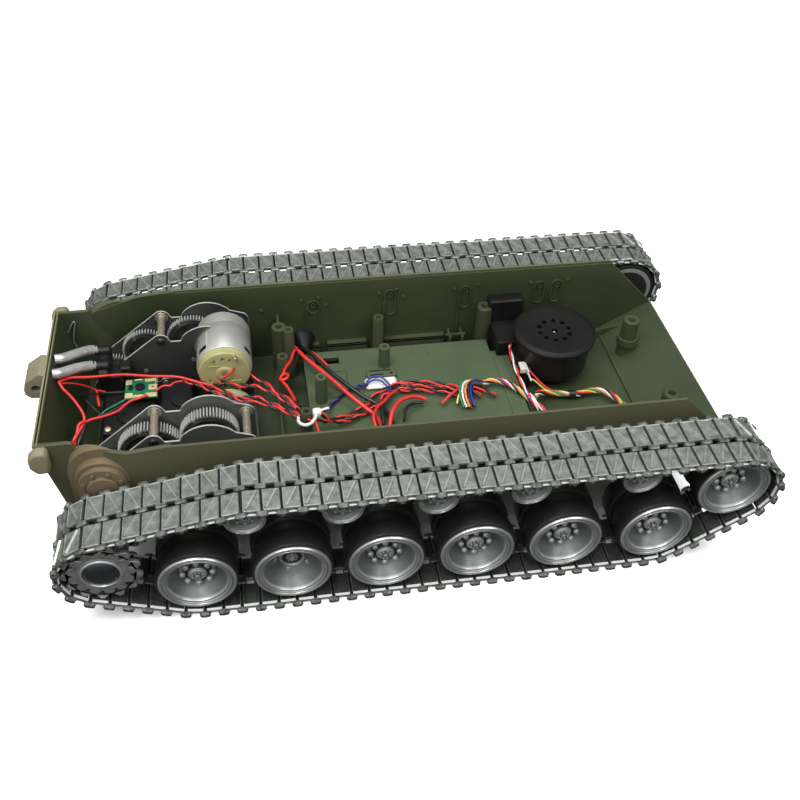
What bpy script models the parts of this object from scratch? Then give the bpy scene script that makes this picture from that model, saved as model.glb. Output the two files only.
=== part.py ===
"""Tracked tank chassis, 1/16 scale: an open hull tub with metal tracks, sprung road
wheels, two spur gearboxes, a speaker, a smoke unit and the wiring between them.

Frame: +X to the front (idler end), +Y to the left, +Z up, ground at z = 0, origin under
the middle of the part.  Every length below is in millimetres; MM turns it into metres.
"""
import math

import bmesh
import bpy
from mathutils import Vector

MM = 0.001
GAP = 0.3                      # clearance between neighbouring solids
SIDES = (("left", 1), ("right", -1))

# ---- driving dimensions -----------------------------------------------------------
WHEEL_1_X = -110.7             # rearmost road wheel
WHEEL_STEPS = (0, 48, 96, 144, 192, 242.5)
WHEEL_Z = 25.9
WHEEL_R = 21.1
WHEEL_FACE_Y = 103.8
WHEEL_WIDTH = 30.4
TYRE_WIDTH = 12.0
HORN_GROOVE_R = 15.5
AXLE_R = 2.0

TRACK_T = 4.3
TRACK_IN_Y = 70.8
TRACK_OUT_Y = 108.4
LINK_PITCH = 9.5               # nominal, evened out over the loop
LINK_GROOVE = 1.7
TRACK_TOP_Z = 77.8

SPROCKET_X = WHEEL_1_X - 44.3
SPROCKET_Z = 41.0
SPROCKET_BELT_R = 19.3
SPROCKET_TIP_R = 18.3
SPROCKET_TEETH = 13
IDLER_X = WHEEL_1_X + 280.8
IDLER_BELT_R = 21.3
IDLER_Z = TRACK_TOP_Z - TRACK_T - IDLER_BELT_R
IDLER_R = 20.3
IDLER_FACE_Y = 101.5
ROLLER_STEPS = (26.5, 74.5, 122.5, 170.5, 229.8)
ROLLER_Z = 62.4
ROLLER_R = 10.6
ROLLER_FACE_Y = 98.0
ROLLER_WIDTH = 18.0

HULL_HALF = 65.0
WALL = 2.4
FLOOR_BOTTOM_Z = 27.0
FLOOR_Z = 29.5
RAIL_Z = 84.3
NOSE_X = WHEEL_1_X + 296.5
NOSE_Z = 49.0
FLOOR_FRONT_X = WHEEL_1_X + 262.0
RAIL_FRONT_X = WHEEL_1_X + 262.0
REAR_X = WHEEL_1_X - 73.2
REAR_Z = 82.2                  # top of the narrow rear box
REAR_HALF = 54.5
TAPER_X = (WHEEL_1_X - 56.0, WHEEL_1_X - 28.0)
TAIL_X = WHEEL_1_X - 85.0

ARM_PIVOT_DX = 16.0            # the pivot is ahead of its axle
ARM_PIVOT_Z = 34.0
ARM_IN_Y = 66.4
ARM_OUT_Y = 70.6

PLATE_OUT_Y = 51.2
PLATE_IN_Y = 29.0
PLATE_T = 1.2
HUMP_X = {"left": WHEEL_1_X - 14.0, "right": WHEEL_1_X - 16.0}
GEAR_MODULE = 15.0 * 2 / 28
GEAR_PIN_R = 1.8
DRIVE_SHAFT_R = 2.2
MOTOR_SHAFT_R = 1.3
MOTOR_R = 15.3
DECK_TOP_Z = 40.0
DECK_REAR_X = WHEEL_1_X + 66.5
DECK_FRONT_X = WHEEL_1_X + 193.5
DECK_HALF = 50.0
SPEAKER_X = WHEEL_1_X + 219.0
SPEAKER_Y = 28.0
SPEAKER_TOP_Z = 62.0


# ---- scene and material helpers ---------------------------------------------------
def clear_scene():
    for old in list(bpy.data.objects):
        bpy.data.objects.remove(old, do_unlink=True)


def material(name, colour, roughness, metallic=0.0):
    mat = bpy.data.materials.new(name)
    mat.use_nodes = True
    mat.diffuse_color = (*colour, 1.0)
    shader = mat.node_tree.nodes["Principled BSDF"]
    shader.inputs["Base Color"].default_value = (*colour, 1.0)
    shader.inputs["Roughness"].default_value = roughness
    shader.inputs["Metallic"].default_value = metallic
    return mat


def place(name, mesh, mat, at=(0, 0, 0), half_turn=False):
    """Put a mesh into the scene as a named node, optionally turned about Z."""
    mesh.materials.clear()
    mesh.materials.append(mat)
    obj = bpy.data.objects.new(name, mesh)
    bpy.context.scene.collection.objects.link(obj)
    obj.location = Vector(at) * MM
    if half_turn:
        obj.rotation_euler.z = math.pi
    mesh.shade_smooth()
    mesh.set_sharp_from_angle(angle=math.radians(35))
    return obj


def mesh_from(points, faces):
    """A closed mesh from points in millimetres, with its faces pointing out."""
    work = bmesh.new()
    verts = [work.verts.new(Vector(p) * MM) for p in points]
    for face in faces:
        work.faces.new([verts[i] for i in face])
    bmesh.ops.recalc_face_normals(work, faces=work.faces)
    mesh = bpy.data.meshes.new("solid")
    work.to_mesh(mesh)
    work.free()
    return mesh


# ---- shape helpers ----------------------------------------------------------------
def prism(outline, y0, y1):
    """Side outline of (x, z) points, extruded from y0 to y1."""
    count = len(outline)
    points = [(x, y0, z) for x, z in outline] + [(x, y1, z) for x, z in outline]
    faces = [list(range(count)), list(range(count, 2 * count))]
    for i in range(count):
        j = (i + 1) % count
        faces.append([i, j, j + count, i + count])
    return mesh_from(points, faces)


def box(low, high):
    (x0, y0, z0), (x1, y1, z1) = low, high
    return prism([(x0, z0), (x1, z0), (x1, z1), (x0, z1)], y0, y1)


def column(x, y, radius, z0, z1, sides=12):
    """Upright round boss."""
    ring = [(math.cos(math.tau * i / sides), math.sin(math.tau * i / sides)) for i in range(sides)]
    points = [(x + radius * c, y + radius * s, z) for z in (z0, z1) for c, s in ring]
    faces = [list(range(sides)), list(range(sides, 2 * sides))]
    for i in range(sides):
        j = (i + 1) % sides
        faces.append([i, j, j + sides, i + sides])
    return mesh_from(points, faces)


def turned(profile, sides, closed=True):
    """Turn a profile of (radius, y) points about the Y axis; radius 0 is a pole."""
    points, rings = [], []
    for radius, y in profile:
        if radius == 0:
            rings.append([len(points)] * sides)
            points.append((0, y, 0))
            continue
        rings.append(list(range(len(points), len(points) + sides)))
        for i in range(sides):
            turn = math.tau * i / sides
            points.append((radius * math.sin(turn), y, radius * math.cos(turn)))
    faces = []
    steps = len(rings) if closed else len(rings) - 1
    for a in range(steps):
        first, second = rings[a], rings[(a + 1) % len(rings)]
        for i in range(sides):
            j = (i + 1) % sides
            corners = [first[i], first[j], second[j], second[i]]
            face = list(dict.fromkeys(corners))
            if len(face) > 2:
                faces.append(face)
    return mesh_from(points, faces)


def circle(cx, cz, radius, start=0.0, end=math.tau, steps=12):
    """Points of an arc in the XZ plane; a full circle doesn't repeat its first point."""
    full = abs(end - start) >= math.tau - 1e-6
    count = steps if full else steps + 1
    turns = [start + (end - start) * i / steps for i in range(count)]
    return [(cx + radius * math.cos(t), cz + radius * math.sin(t)) for t in turns]


def capsule(ax, az, ra, bx, bz, rb, steps=8):
    """Outline around two circles."""
    along = math.atan2(bz - az, bx - ax)
    lean = math.asin((ra - rb) / math.hypot(bx - ax, bz - az))
    first = along + math.pi / 2 - lean
    last = along - math.pi / 2 + lean
    tail = circle(ax, az, ra, first, last + math.tau, steps)
    head = circle(bx, bz, rb, last, first, steps)
    return tail + head


def boolean(base, others, operation):
    """One mesh from a base and others, by Blender's exact Boolean."""
    target = bpy.data.objects.new("target", base)
    bpy.context.scene.collection.objects.link(target)
    tools = []
    for mesh in others:
        tool = bpy.data.objects.new("tool", mesh)
        bpy.context.scene.collection.objects.link(tool)
        modifier = target.modifiers.new("join", "BOOLEAN")
        modifier.operation = operation
        modifier.solver = "EXACT"
        modifier.object = tool
        tools.append(tool)
    graph = bpy.context.evaluated_depsgraph_get()
    result = bpy.data.meshes.new_from_object(target.evaluated_get(graph))
    for obj in tools + [target]:
        bpy.data.objects.remove(obj, do_unlink=True)
    return result


def joined(base, *others):
    return boolean(base, others, "UNION")


def cut(base, *others):
    return boolean(base, others, "DIFFERENCE")


def span(side, y0, y1):
    """Lowest and highest y of a stretch given as distances from the middle."""
    return min(side * y0, side * y1), max(side * y0, side * y1)


def moved(mesh, x=0, y=0, z=0):
    for vert in mesh.vertices:
        vert.co += Vector((x, y, z)) * MM
    return mesh


# ---- track ------------------------------------------------------------------------
def belt_path():
    """Inner line of the track: straights and arcs round its five turning circles."""
    wheel_belt = WHEEL_Z - TRACK_T
    line_z = TRACK_TOP_Z - TRACK_T
    roller_r = line_z - ROLLER_Z
    circles = [
        (WHEEL_1_X, WHEEL_Z, wheel_belt),
        (WHEEL_1_X + WHEEL_STEPS[-1], WHEEL_Z, wheel_belt),
        (IDLER_X, IDLER_Z, IDLER_BELT_R),
        (WHEEL_1_X + ROLLER_STEPS[0], ROLLER_Z, roller_r),
        (SPROCKET_X, SPROCKET_Z, SPROCKET_BELT_R),
    ]
    headings = []
    for i, (x, z, r) in enumerate(circles):
        nx, nz, nr = circles[(i + 1) % len(circles)]
        direct = math.atan2(nz - z, nx - x)
        headings.append(direct + math.asin((r - nr) / math.hypot(nx - x, nz - z)))
    pieces = []
    for i, (x, z, r) in enumerate(circles):
        turn_in, turn_out = headings[i - 1], headings[i]
        while turn_out < turn_in:
            turn_out += math.tau
        pieces.append(("arc", x, z, r, turn_in, turn_out))
        nx, nz, nr = circles[(i + 1) % len(circles)]
        side = (math.sin(headings[i]), -math.cos(headings[i]))
        start = (x + r * side[0], z + r * side[1])
        end = (nx + nr * side[0], nz + nr * side[1])
        pieces.append(("line", start, end, headings[i]))
    return pieces


def belt_length(piece):
    if piece[0] == "arc":
        return piece[3] * (piece[5] - piece[4])
    return math.dist(piece[1], piece[2])


def belt_point(pieces, s):
    """Point on the inner line at distance s, and its outward normal."""
    for piece in pieces:
        length = belt_length(piece)
        if s <= length:
            break
        s -= length
    if piece[0] == "arc":
        _, x, z, r, turn_in, _ = piece
        heading = turn_in + s / r
        normal = (math.sin(heading), -math.cos(heading))
        return (x + r * normal[0], z + r * normal[1]), normal
    _, start, end, heading = piece
    part = min(s / length, 1.0)
    point = tuple(a + (b - a) * part for a, b in zip(start, end))
    return point, (math.sin(heading), -math.cos(heading))


def track_mesh(side):
    """Band of links with a groove between each two, as one closed ring."""
    pieces = belt_path()
    total = sum(belt_length(p) for p in pieces)
    links = round(total / LINK_PITCH)
    pitch = total / links
    outer, inner = [], []
    for i in range(links):
        for part, height in ((0.0, TRACK_T - LINK_GROOVE), (0.12, TRACK_T), (0.88, TRACK_T)):
            (x, z), (nx, nz) = belt_point(pieces, (i + part) * pitch)
            outer.append((x + nx * height, z + nz * height))
        inner.append(belt_point(pieces, i * pitch)[0])
    low, high = span(side, TRACK_IN_Y, TRACK_OUT_Y)
    points = [(x, y, z) for y in (low, high) for x, z in outer + inner]
    layer = len(outer) + len(inner)
    first_inner = len(outer)
    faces = []
    for i in range(len(outer)):
        j = (i + 1) % len(outer)
        faces.append([i, j, j + layer, i + layer])
    for i in range(links):
        j = (i + 1) % links
        a, b = first_inner + i, first_inner + j
        faces.append([a, b, b + layer, a + layer])
        edge = [3 * i, 3 * i + 1, 3 * i + 2, (3 * i + 3) % len(outer)]
        for base in (0, layer):
            faces.append([base + k for k in edge] + [base + b, base + a])
    return mesh_from(points, faces)


# ---- running gear -----------------------------------------------------------------
def road_wheel_mesh(outer_r, bore_r=AXLE_R + GAP):
    """Twin wheel with its outer face at y = 0 and its axle bore open at the back."""
    back = -WHEEL_WIDTH
    groove = -WHEEL_WIDTH + TYRE_WIDTH
    rim_r = outer_r - 1.9
    profile = [
        (0, -1.0), (6.0, -1.0), (7.0, -4.0), (15.0, -4.0), (rim_r, 0), (outer_r, -1.6),
        (outer_r, -TYRE_WIDTH), (HORN_GROOVE_R, -TYRE_WIDTH), (HORN_GROOVE_R, groove),
        (outer_r, groove), (outer_r, back), (bore_r, back), (bore_r, -6.0), (0, -6.0),
    ]
    return turned(profile, 14, closed=False)


def roller_mesh():
    """Twin return roller, outer face at y = 0, pin bore open at the back."""
    groove_a = -ROLLER_WIDTH * 0.38
    groove_b = -ROLLER_WIDTH * 0.62
    profile = [
        (0, 0), (ROLLER_R, 0), (ROLLER_R, groove_a), (6.0, groove_a), (6.0, groove_b),
        (ROLLER_R, groove_b), (ROLLER_R, -ROLLER_WIDTH), (AXLE_R + GAP, -ROLLER_WIDTH),
        (AXLE_R + GAP, -3.0), (0, -3.0),
    ]
    return turned(profile, 10, closed=False)


def sprocket_mesh():
    """Two toothed rings on a drum, outer ring's face at y = 0; a blind bore holds the shaft."""
    rings = []
    for y0 in (-3.0, -29.0):
        outline = []
        for tooth in range(SPROCKET_TEETH):
            for part, radius in ((-0.18, SPROCKET_TIP_R), (0.18, SPROCKET_TIP_R), (0.5, 15.0)):
                turn = math.tau * (tooth + part) / SPROCKET_TEETH
                outline.append((radius * math.cos(turn), radius * math.sin(turn)))
        rings.append(prism(outline, y0, y0 + 3.0))
    profile = [
        (0, 1.0), (8.0, 0.6), (9.3, -1.0), (13.0, -1.0), (13.0, -28.0), (6.0, -28.0),
        (6.0, -31.0), (2.5, -31.0), (2.5, -12.0), (0, -12.0),
    ]
    drum = turned(profile, 16, closed=False)
    shaft_room = turned([(0, -12.0), (2.5, -12.0), (2.5, -40.0), (0, -40.0)], 16, closed=False)
    return cut(joined(drum, *rings), shaft_room)


def arm_mesh(side):
    """Swing arm with its pivot at the origin and an axle pin for the wheel."""
    drop = WHEEL_Z - ARM_PIVOT_Z
    outline = capsule(0, 0, 5.2, -ARM_PIVOT_DX, drop, 4.2, 4)
    low, high = span(side, ARM_IN_Y, ARM_OUT_Y)
    bar = prism(outline, low, high)
    low, high = span(side, ARM_OUT_Y - 1.0, WHEEL_FACE_Y - 7.0)
    pin = prism(circle(-ARM_PIVOT_DX, drop, AXLE_R, steps=10), low, high)
    low, high = span(side, ARM_IN_Y - 1.0, ARM_OUT_Y + 1.0)
    bore = prism(circle(0, 0, 2.2 + GAP, steps=10), low, high)
    return cut(joined(bar, pin), bore)


def running_gear(looks):
    wheel = road_wheel_mesh(WHEEL_R)
    idler = road_wheel_mesh(IDLER_R)
    roller = roller_mesh()
    sprocket = sprocket_mesh()
    for name, side in SIDES:
        turn = side < 0
        place(f"{name}_track", track_mesh(side), looks["track"])
        face = side * (WHEEL_FACE_Y + 0.2)
        place(f"{name}_sprocket", sprocket.copy(), looks["steel"], (SPROCKET_X, face, SPROCKET_Z), turn)
        place(f"{name}_idler", idler.copy(), looks["rim"], (IDLER_X, side * IDLER_FACE_Y, IDLER_Z), turn)
        arm = arm_mesh(side)
        for n, step in enumerate(WHEEL_STEPS, 1):
            x = WHEEL_1_X + step
            place(f"{name}_arm_{n}", arm.copy(), looks["plastic"], (x + ARM_PIVOT_DX, 0, ARM_PIVOT_Z))
            spot = (x, side * WHEEL_FACE_Y, WHEEL_Z)
            place(f"{name}_road_wheel_{n}", wheel.copy(), looks["tyre"], spot, turn)
        for n, step in enumerate(ROLLER_STEPS, 1):
            spot = (WHEEL_1_X + step, side * ROLLER_FACE_Y, ROLLER_Z)
            place(f"{name}_return_roller_{n}", roller.copy(), looks["rim"], spot, turn)


# ---- gearboxes --------------------------------------------------------------------
def gear_outline(cx, cz, teeth, phase):
    """Straight-flanked teeth; phase is the angle of one tooth's tip."""
    pitch_r = GEAR_MODULE * teeth / 2
    tip, root = pitch_r + 0.75, pitch_r - 1.15
    outline = []
    for k in range(2 * teeth):
        turn = phase + math.pi * k / teeth
        radius = tip if k % 2 == 0 else root
        outline.append((cx + radius * math.cos(turn), cz + radius * math.sin(turn)))
    return outline


def pitch_radius(teeth):
    return GEAR_MODULE * teeth / 2


def between(a, b, reach_a, reach_b):
    """Upper point at reach_a from a and reach_b from b."""
    dx, dz = b[0] - a[0], b[1] - a[1]
    apart = math.hypot(dx, dz)
    along = (reach_a ** 2 - reach_b ** 2 + apart ** 2) / (2 * apart)
    off = math.sqrt(max(reach_a ** 2 - along ** 2, 0.0))
    sign = 1 if dx < 0 else -1
    x = a[0] + along * dx / apart + sign * off * dz / apart
    z = a[1] + along * dz / apart - sign * off * dx / apart
    return x, z


def mesh_phase(a, teeth_a, phase_a, b, teeth_b):
    """Phase of gear b that puts its teeth between the teeth of gear a."""
    line = math.atan2(b[1] - a[1], b[0] - a[0])
    ra, rb = pitch_radius(teeth_a), pitch_radius(teeth_b)
    half = math.pi * GEAR_MODULE / 2
    return line + math.pi - (ra * (phase_a - line) + half) / rb


GEARS = {
    # side: big gear centre, motor axis, teeth of the middle gear
    "left": ((WHEEL_1_X + 2.7, 60.5), (WHEEL_1_X + 20.5, 68.0), 25),
    "right": ((WHEEL_1_X + 11.0, 62.0), (WHEEL_1_X + 21.0, 45.5), 32),
}
BIG_TEETH = 28
FINAL_TEETH = 19
PINION_TEETH = 8


def gear_train(name):
    """Centres, teeth and phases of final, middle and big gear and of the pinion."""
    big, motor, middle_teeth = GEARS[name]
    final = (SPROCKET_X, SPROCKET_Z)
    reach = pitch_radius(BIG_TEETH) + pitch_radius(middle_teeth)
    other = pitch_radius(FINAL_TEETH) + pitch_radius(middle_teeth)
    middle = between(big, final, reach, other)
    phase_final = 0.0
    phase_middle = mesh_phase(final, FINAL_TEETH, phase_final, middle, middle_teeth)
    phase_big = mesh_phase(middle, middle_teeth, phase_middle, big, BIG_TEETH)
    line = math.atan2(motor[1] - big[1], motor[0] - big[0])
    reach = pitch_radius(BIG_TEETH) + pitch_radius(PINION_TEETH)
    pinion = (big[0] + reach * math.cos(line), big[1] + reach * math.sin(line))
    phase_pinion = mesh_phase(big, BIG_TEETH, phase_big, pinion, PINION_TEETH)
    return {
        "final": (final, FINAL_TEETH, phase_final),
        "middle": (middle, middle_teeth, phase_middle),
        "big": (big, BIG_TEETH, phase_big),
        "pinion": (pinion, PINION_TEETH, phase_pinion),
    }


def plate_outline(hump_x):
    """Side plate: round foot at the drive shaft, sloping edge, hump, arc and nose."""
    x = WHEEL_1_X
    foot = circle(SPROCKET_X, SPROCKET_Z + 1.0, 11.6, math.radians(125), math.radians(270), 5)
    base = [(x + 35.7, 30.6)]
    nose = circle(x + 30.8, 69.5, 5.0, 0, math.radians(75), 3)
    arc = circle(x + 11.5, 66.1, 17.4, math.radians(38), math.radians(140), 8)
    flat = [(x - 3.0, 74.5), (hump_x + 5.5, 74.5)]
    hump = circle(hump_x, 74.9, 4.7, math.radians(20), math.radians(125), 4)
    return foot + base + nose + arc + flat + hump


def gearbox_frame(name, side, train):
    """Two plates held apart by three standoffs, with pins for the gears."""
    outline = plate_outline(HUMP_X[name])
    y_out = span(side, PLATE_OUT_Y - PLATE_T / 2, PLATE_OUT_Y + PLATE_T / 2)
    y_in = span(side, PLATE_IN_Y - PLATE_T / 2, PLATE_IN_Y + PLATE_T / 2)
    outer, inner = prism(outline, *y_out), prism(outline, *y_in)
    low, high = span(side, PLATE_IN_Y, PLATE_OUT_Y)
    posts = [
        prism(circle(HUMP_X[name], 75.2, 2.6, steps=8), low, high),
        prism(circle(WHEEL_1_X + 30.8, 70.2, 2.6, steps=8), low, high),
        prism(circle(WHEEL_1_X + 12.0, 34.6, 2.6, steps=8), low, high),
    ]
    holes = [prism(circle(SPROCKET_X, SPROCKET_Z, 3.6, steps=12), *span(side, 20, 60))]
    (mx, mz), _, _ = train["pinion"]
    if name == "left":
        room = circle(mx, mz, MOTOR_R + 1.2, steps=18)
        holes.append(prism(room, *span(side, 20, PLATE_OUT_Y - PLATE_T)))
        holes.append(prism(circle(mx, mz, 5.6, steps=12), *span(side, 40, 60)))
        posts.pop(1)
    else:
        holes.append(prism(circle(mx, mz, 5.6, steps=12), *span(side, 20, 40)))
    for gear in ("middle", "big"):
        (gx, gz), _, _ = train[gear]
        posts.append(prism(circle(gx, gz, GEAR_PIN_R, steps=8), low, high))
    return cut(joined(outer, inner, *posts), *holes)


def spur_gear(cx, cz, teeth, phase, y0, y1, bore_r):
    gear = prism(gear_outline(0, 0, teeth, phase), y0, y1)
    bore = prism(circle(0, 0, bore_r, steps=10), y0 - 1, y1 + 1)
    return cut(gear, bore)


def motor_mesh(side, back_y, front_y, axis):
    """Can, end bell and terminal tail; the shaft end carries the pinion."""
    sign = side
    profile = [
        (0, back_y), (6.5, back_y), (6.5, back_y - sign * 1.5), (MOTOR_R - 1.5, back_y - sign * 1.5),
        (MOTOR_R, back_y - sign * 3.5), (MOTOR_R, front_y + sign * 6), (MOTOR_R - 1.2, front_y + sign * 1.5),
        (MOTOR_R - 2.4, front_y + sign * 0.4), (4.0, front_y + sign * 0.4), (4.0, front_y), (0, front_y),
    ]
    can = turned(profile, 18, closed=False)
    ends = span(1, back_y - sign * 1.0, back_y + sign * 7.0)
    shaft = prism(circle(0, 0, MOTOR_SHAFT_R, steps=8), *ends)
    return moved(joined(can, shaft), axis[0], 0, axis[1])


def gearboxes(looks):
    for name, side in SIDES:
        train = gear_train(name)
        place(f"{name}_gearbox_frame", gearbox_frame(name, side, train), looks["plate"])
        gear_y = span(side, 46.6, 50.0) if name == "left" else span(side, 31.4, 38.0)
        for gear in ("middle", "big"):
            (x, z), teeth, phase = train[gear]
            solid = spur_gear(x, z, teeth, phase, *gear_y, GEAR_PIN_R + GAP)
            label = "reduction" if gear == "middle" else "large"
            place(f"{name}_{label}_gear", solid, looks["gear"], (x, 0, z))
        (x, z), teeth, phase = train["final"]
        shaft_y = span(side, PLATE_IN_Y + 2.5, WHEEL_FACE_Y - 12.3)
        shaft = prism(circle(0, 0, DRIVE_SHAFT_R, steps=12), *shaft_y)
        gear = prism(gear_outline(0, 0, teeth, phase), *gear_y)
        place(f"{name}_drive_shaft", joined(gear, shaft), looks["steel"], (x, 0, z))
        (x, z), teeth, phase = train["pinion"]
        if name == "left":
            back, front = side * 46.0, side * 4.0
        else:
            back, front = side * 27.6, side * -3.2
        place(f"{name}_motor", motor_mesh(side, back, front, (x, z)), looks["motor"])
        solid = spur_gear(x, z, teeth, phase, *gear_y, MOTOR_SHAFT_R + GAP)
        place(f"{name}_pinion", solid, looks["brass"], (x, 0, z))


# ---- hull -------------------------------------------------------------------------
def hull_outline():
    """Side view of the tub, with the rail dipping behind the drive housing."""
    x = WHEEL_1_X
    return [
        (x - 56.0, FLOOR_BOTTOM_Z), (FLOOR_FRONT_X, FLOOR_BOTTOM_Z), (NOSE_X, NOSE_Z),
        (RAIL_FRONT_X, RAIL_Z), (x - 8.0, RAIL_Z), (x - 28.0, 82.0), (x - 52.0, 80.2),
        (x - 54.0, REAR_Z), (REAR_X, REAR_Z), (x - 64.0, 34.0),
    ]


def hull_room():
    """What is cut out of the tub: open at the top, with plate thickness left all round."""
    x = WHEEL_1_X
    return [
        (x - 54.6, FLOOR_Z), (FLOOR_FRONT_X - 1.3, FLOOR_Z), (NOSE_X + 8.0, NOSE_Z + 7.3),
        (NOSE_X + 8.0, RAIL_Z + 10), (REAR_X + 2.0, RAIL_Z + 10), (REAR_X + 2.8, REAR_Z),
        (x - 61.4, 35.0),
    ]


def upright_prism(plan, z0, z1):
    """Plan outline of (x, y) points, raised from z0 to z1."""
    count = len(plan)
    points = [(x, y, z) for z in (z0, z1) for x, y in plan]
    faces = [list(range(count)), list(range(count, 2 * count))]
    for i in range(count):
        j = (i + 1) % count
        faces.append([i, j, j + count, i + count])
    return mesh_from(points, faces)


def narrowed(solid, inset):
    """The solid with both rear corners cut away along the tapered side walls."""
    rear, front = TAPER_X
    half = REAR_HALF - inset
    wedges = []
    for _, side in SIDES:
        plan = [
            (TAIL_X - 9.0, side * half), (rear - 0.2 * inset, side * half),
            (front, side * (HULL_HALF - inset)), (front, side * 80.0), (TAIL_X - 9.0, side * 80.0),
        ]
        wedges.append(upright_prism(plan, 0.0, 120.0))
    return cut(solid, *wedges)


def tail_parts():
    """Tow bracket on the rear plate and a lamp block at each rear corner."""
    x = WHEEL_1_X
    bracket = [
        (x - 70.0, 67.0), (x - 72.0, 83.0), (x - 75.5, 84.0), (x - 84.0, 78.0), (TAIL_X, 74.0),
        (TAIL_X, 70.5), (x - 82.0, 67.5),
    ]
    lamp = [
        (x - 66.0, 66.0), (x - 65.4, 79.0), (x - 67.0, 81.0), (x - 72.0, 81.0), (x - 76.0, 77.0),
        (x - 76.3, 70.0), (x - 72.5, 65.0),
    ]
    parts = [prism(bracket, -2.5, 15.0)]
    for _, side in SIDES:
        parts.append(prism(lamp, *span(side, REAR_HALF - 1.0, 60.2)))
    return parts


def side_fittings(side):
    """Stepped drive housing, roller pins, idler mount and arm pivots of one side."""
    x = WHEEL_1_X
    foot_z = SPROCKET_Z + 2.0
    flange = capsule(x - 42.0, 66.5, 16.7, SPROCKET_X, foot_z, 14.5, 8)
    drum = capsule(x - 41.5, 63.5, 13.0, SPROCKET_X, foot_z, 12.5, 8)
    mount = capsule(IDLER_X - 8.0, IDLER_Z - 3.0, 6.0, IDLER_X, IDLER_Z, 4.6, 6)
    idler_pin = circle(IDLER_X, IDLER_Z, AXLE_R, steps=10)
    root = HULL_HALF - 1.0
    parts = [
        prism(flange, *span(side, REAR_HALF - 1.0, 61.0)),
        prism(drum, *span(side, REAR_HALF - 1.0, 70.3)),
        prism(mount, *span(side, root, IDLER_FACE_Y - WHEEL_WIDTH - 0.5)),
        prism(idler_pin, *span(side, root, IDLER_FACE_Y - 6.3)),
    ]
    for step in ROLLER_STEPS:
        pin = circle(x + step, ROLLER_Z, AXLE_R, steps=10)
        parts.append(prism(pin, *span(side, root, ROLLER_FACE_Y - 3.3)))
        collar = circle(x + step, ROLLER_Z, 4.4, steps=10)
        parts.append(prism(collar, *span(side, root, ROLLER_FACE_Y - ROLLER_WIDTH - 0.5)))
    for step in WHEEL_STEPS:
        pin = circle(x + step + ARM_PIVOT_DX, ARM_PIVOT_Z, 2.2, steps=10)
        parts.append(prism(pin, *span(side, root, ARM_OUT_Y)))
    return parts


def hull_mesh():
    x = WHEEL_1_X
    shell = narrowed(prism(hull_outline(), -HULL_HALF, HULL_HALF), 0.0)
    outside = tail_parts() + side_fittings(1) + side_fittings(-1)
    room = narrowed(prism(hull_room(), WALL - HULL_HALF, HULL_HALF - WALL), WALL)
    shell = cut(joined(shell, *outside), room)
    # upright screw bosses: x, y, radius, top
    bosses = (
        (53.0, 46.0, 4.4, 66.0), (58.5, 42.5, 3.2, 66.0), (53.5, 24.5, 3.3, 61.0),
        (63.0, -23.5, 3.3, 61.0), (271.0, 34.0, 5.0, 60.0), (271.0, -34.0, 5.0, 60.0),
        (182.5, 57.5, 5.0, 61.0), (114.5, 55.5, 3.3, 60.0),
    )
    columns = [column(x + bx, by, r, FLOOR_BOTTOM_Z + 1.0, top, 10) for bx, by, r, top in bosses]
    holes = [prism(circle(SPROCKET_X, SPROCKET_Z, 3.2, steps=12), *span(side, 50, 75)) for _, side in SIDES]
    return cut(joined(shell, *columns), *holes)


def deck_mesh():
    """Raised cover over the battery bay, a tray open underneath, with two bosses."""
    low = (DECK_REAR_X, -DECK_HALF, FLOOR_Z + GAP)
    tray = box(low, (DECK_FRONT_X, DECK_HALF, DECK_TOP_Z))
    room_low = (DECK_REAR_X + 1.8, -DECK_HALF + 1.8, FLOOR_Z - 2)
    room = box(room_low, (DECK_FRONT_X - 1.8, DECK_HALF - 1.8, DECK_TOP_Z - 1.8))
    bosses = [
        column(WHEEL_1_X + 115.0, 33.0, 3.3, DECK_TOP_Z - 1.0, 55.0, 10),
        column(WHEEL_1_X + 74.0, 6.0, 3.3, DECK_TOP_Z - 1.0, 59.0, 10),
    ]
    return joined(cut(tray, room), *bosses)


# ---- equipment in the tub ---------------------------------------------------------
def upright(mesh):
    """Stand a part turned about Y on end, its +Y pointing up."""
    for vert in mesh.vertices:
        x, y, z = vert.co
        vert.co = (x, -z, y)
    return mesh


def speaker_mesh():
    body_r, flange_r = 23.2, 25.5
    top, base = SPEAKER_TOP_Z, FLOOR_Z + GAP
    profile = [
        (0, top - 0.8), (9.0, top - 0.8), (10.0, top), (flange_r - 1.0, top), (flange_r, top - 1.0),
        (flange_r, top - 3.0), (body_r, top - 4.5), (body_r - 1.5, base), (0, base),
    ]
    return moved(upright(turned(profile, 24, closed=False)), SPEAKER_X, SPEAKER_Y)


def smoke_unit_mesh():
    """Housing between the gearboxes, with the manifold that the two pipes leave."""
    x = WHEEL_1_X
    main = box((x - 50.0, -25.0, FLOOR_Z + GAP), (x + 1.5, 25.5, 54.0))
    riser = box((x - 49.0, 13.0, 53.0), (x - 38.0, 25.0, 63.0))
    manifold = box((x - 49.5, 11.0, 62.0), (x - 42.5, 36.5, 73.5))
    return joined(main, riser, manifold)


PIPE_ROUTES = (
    ((-51.6, 30.6, 71.2), (-57.0, 26.0, 74.2), (-63.0, 20.0, 76.4), (-66.8, 16.2, 77.3)),
    ((-51.6, 17.6, 70.8), (-57.5, 12.4, 73.8), (-62.8, 7.6, 75.8), (-66.6, 4.6, 76.7)),
)


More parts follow.
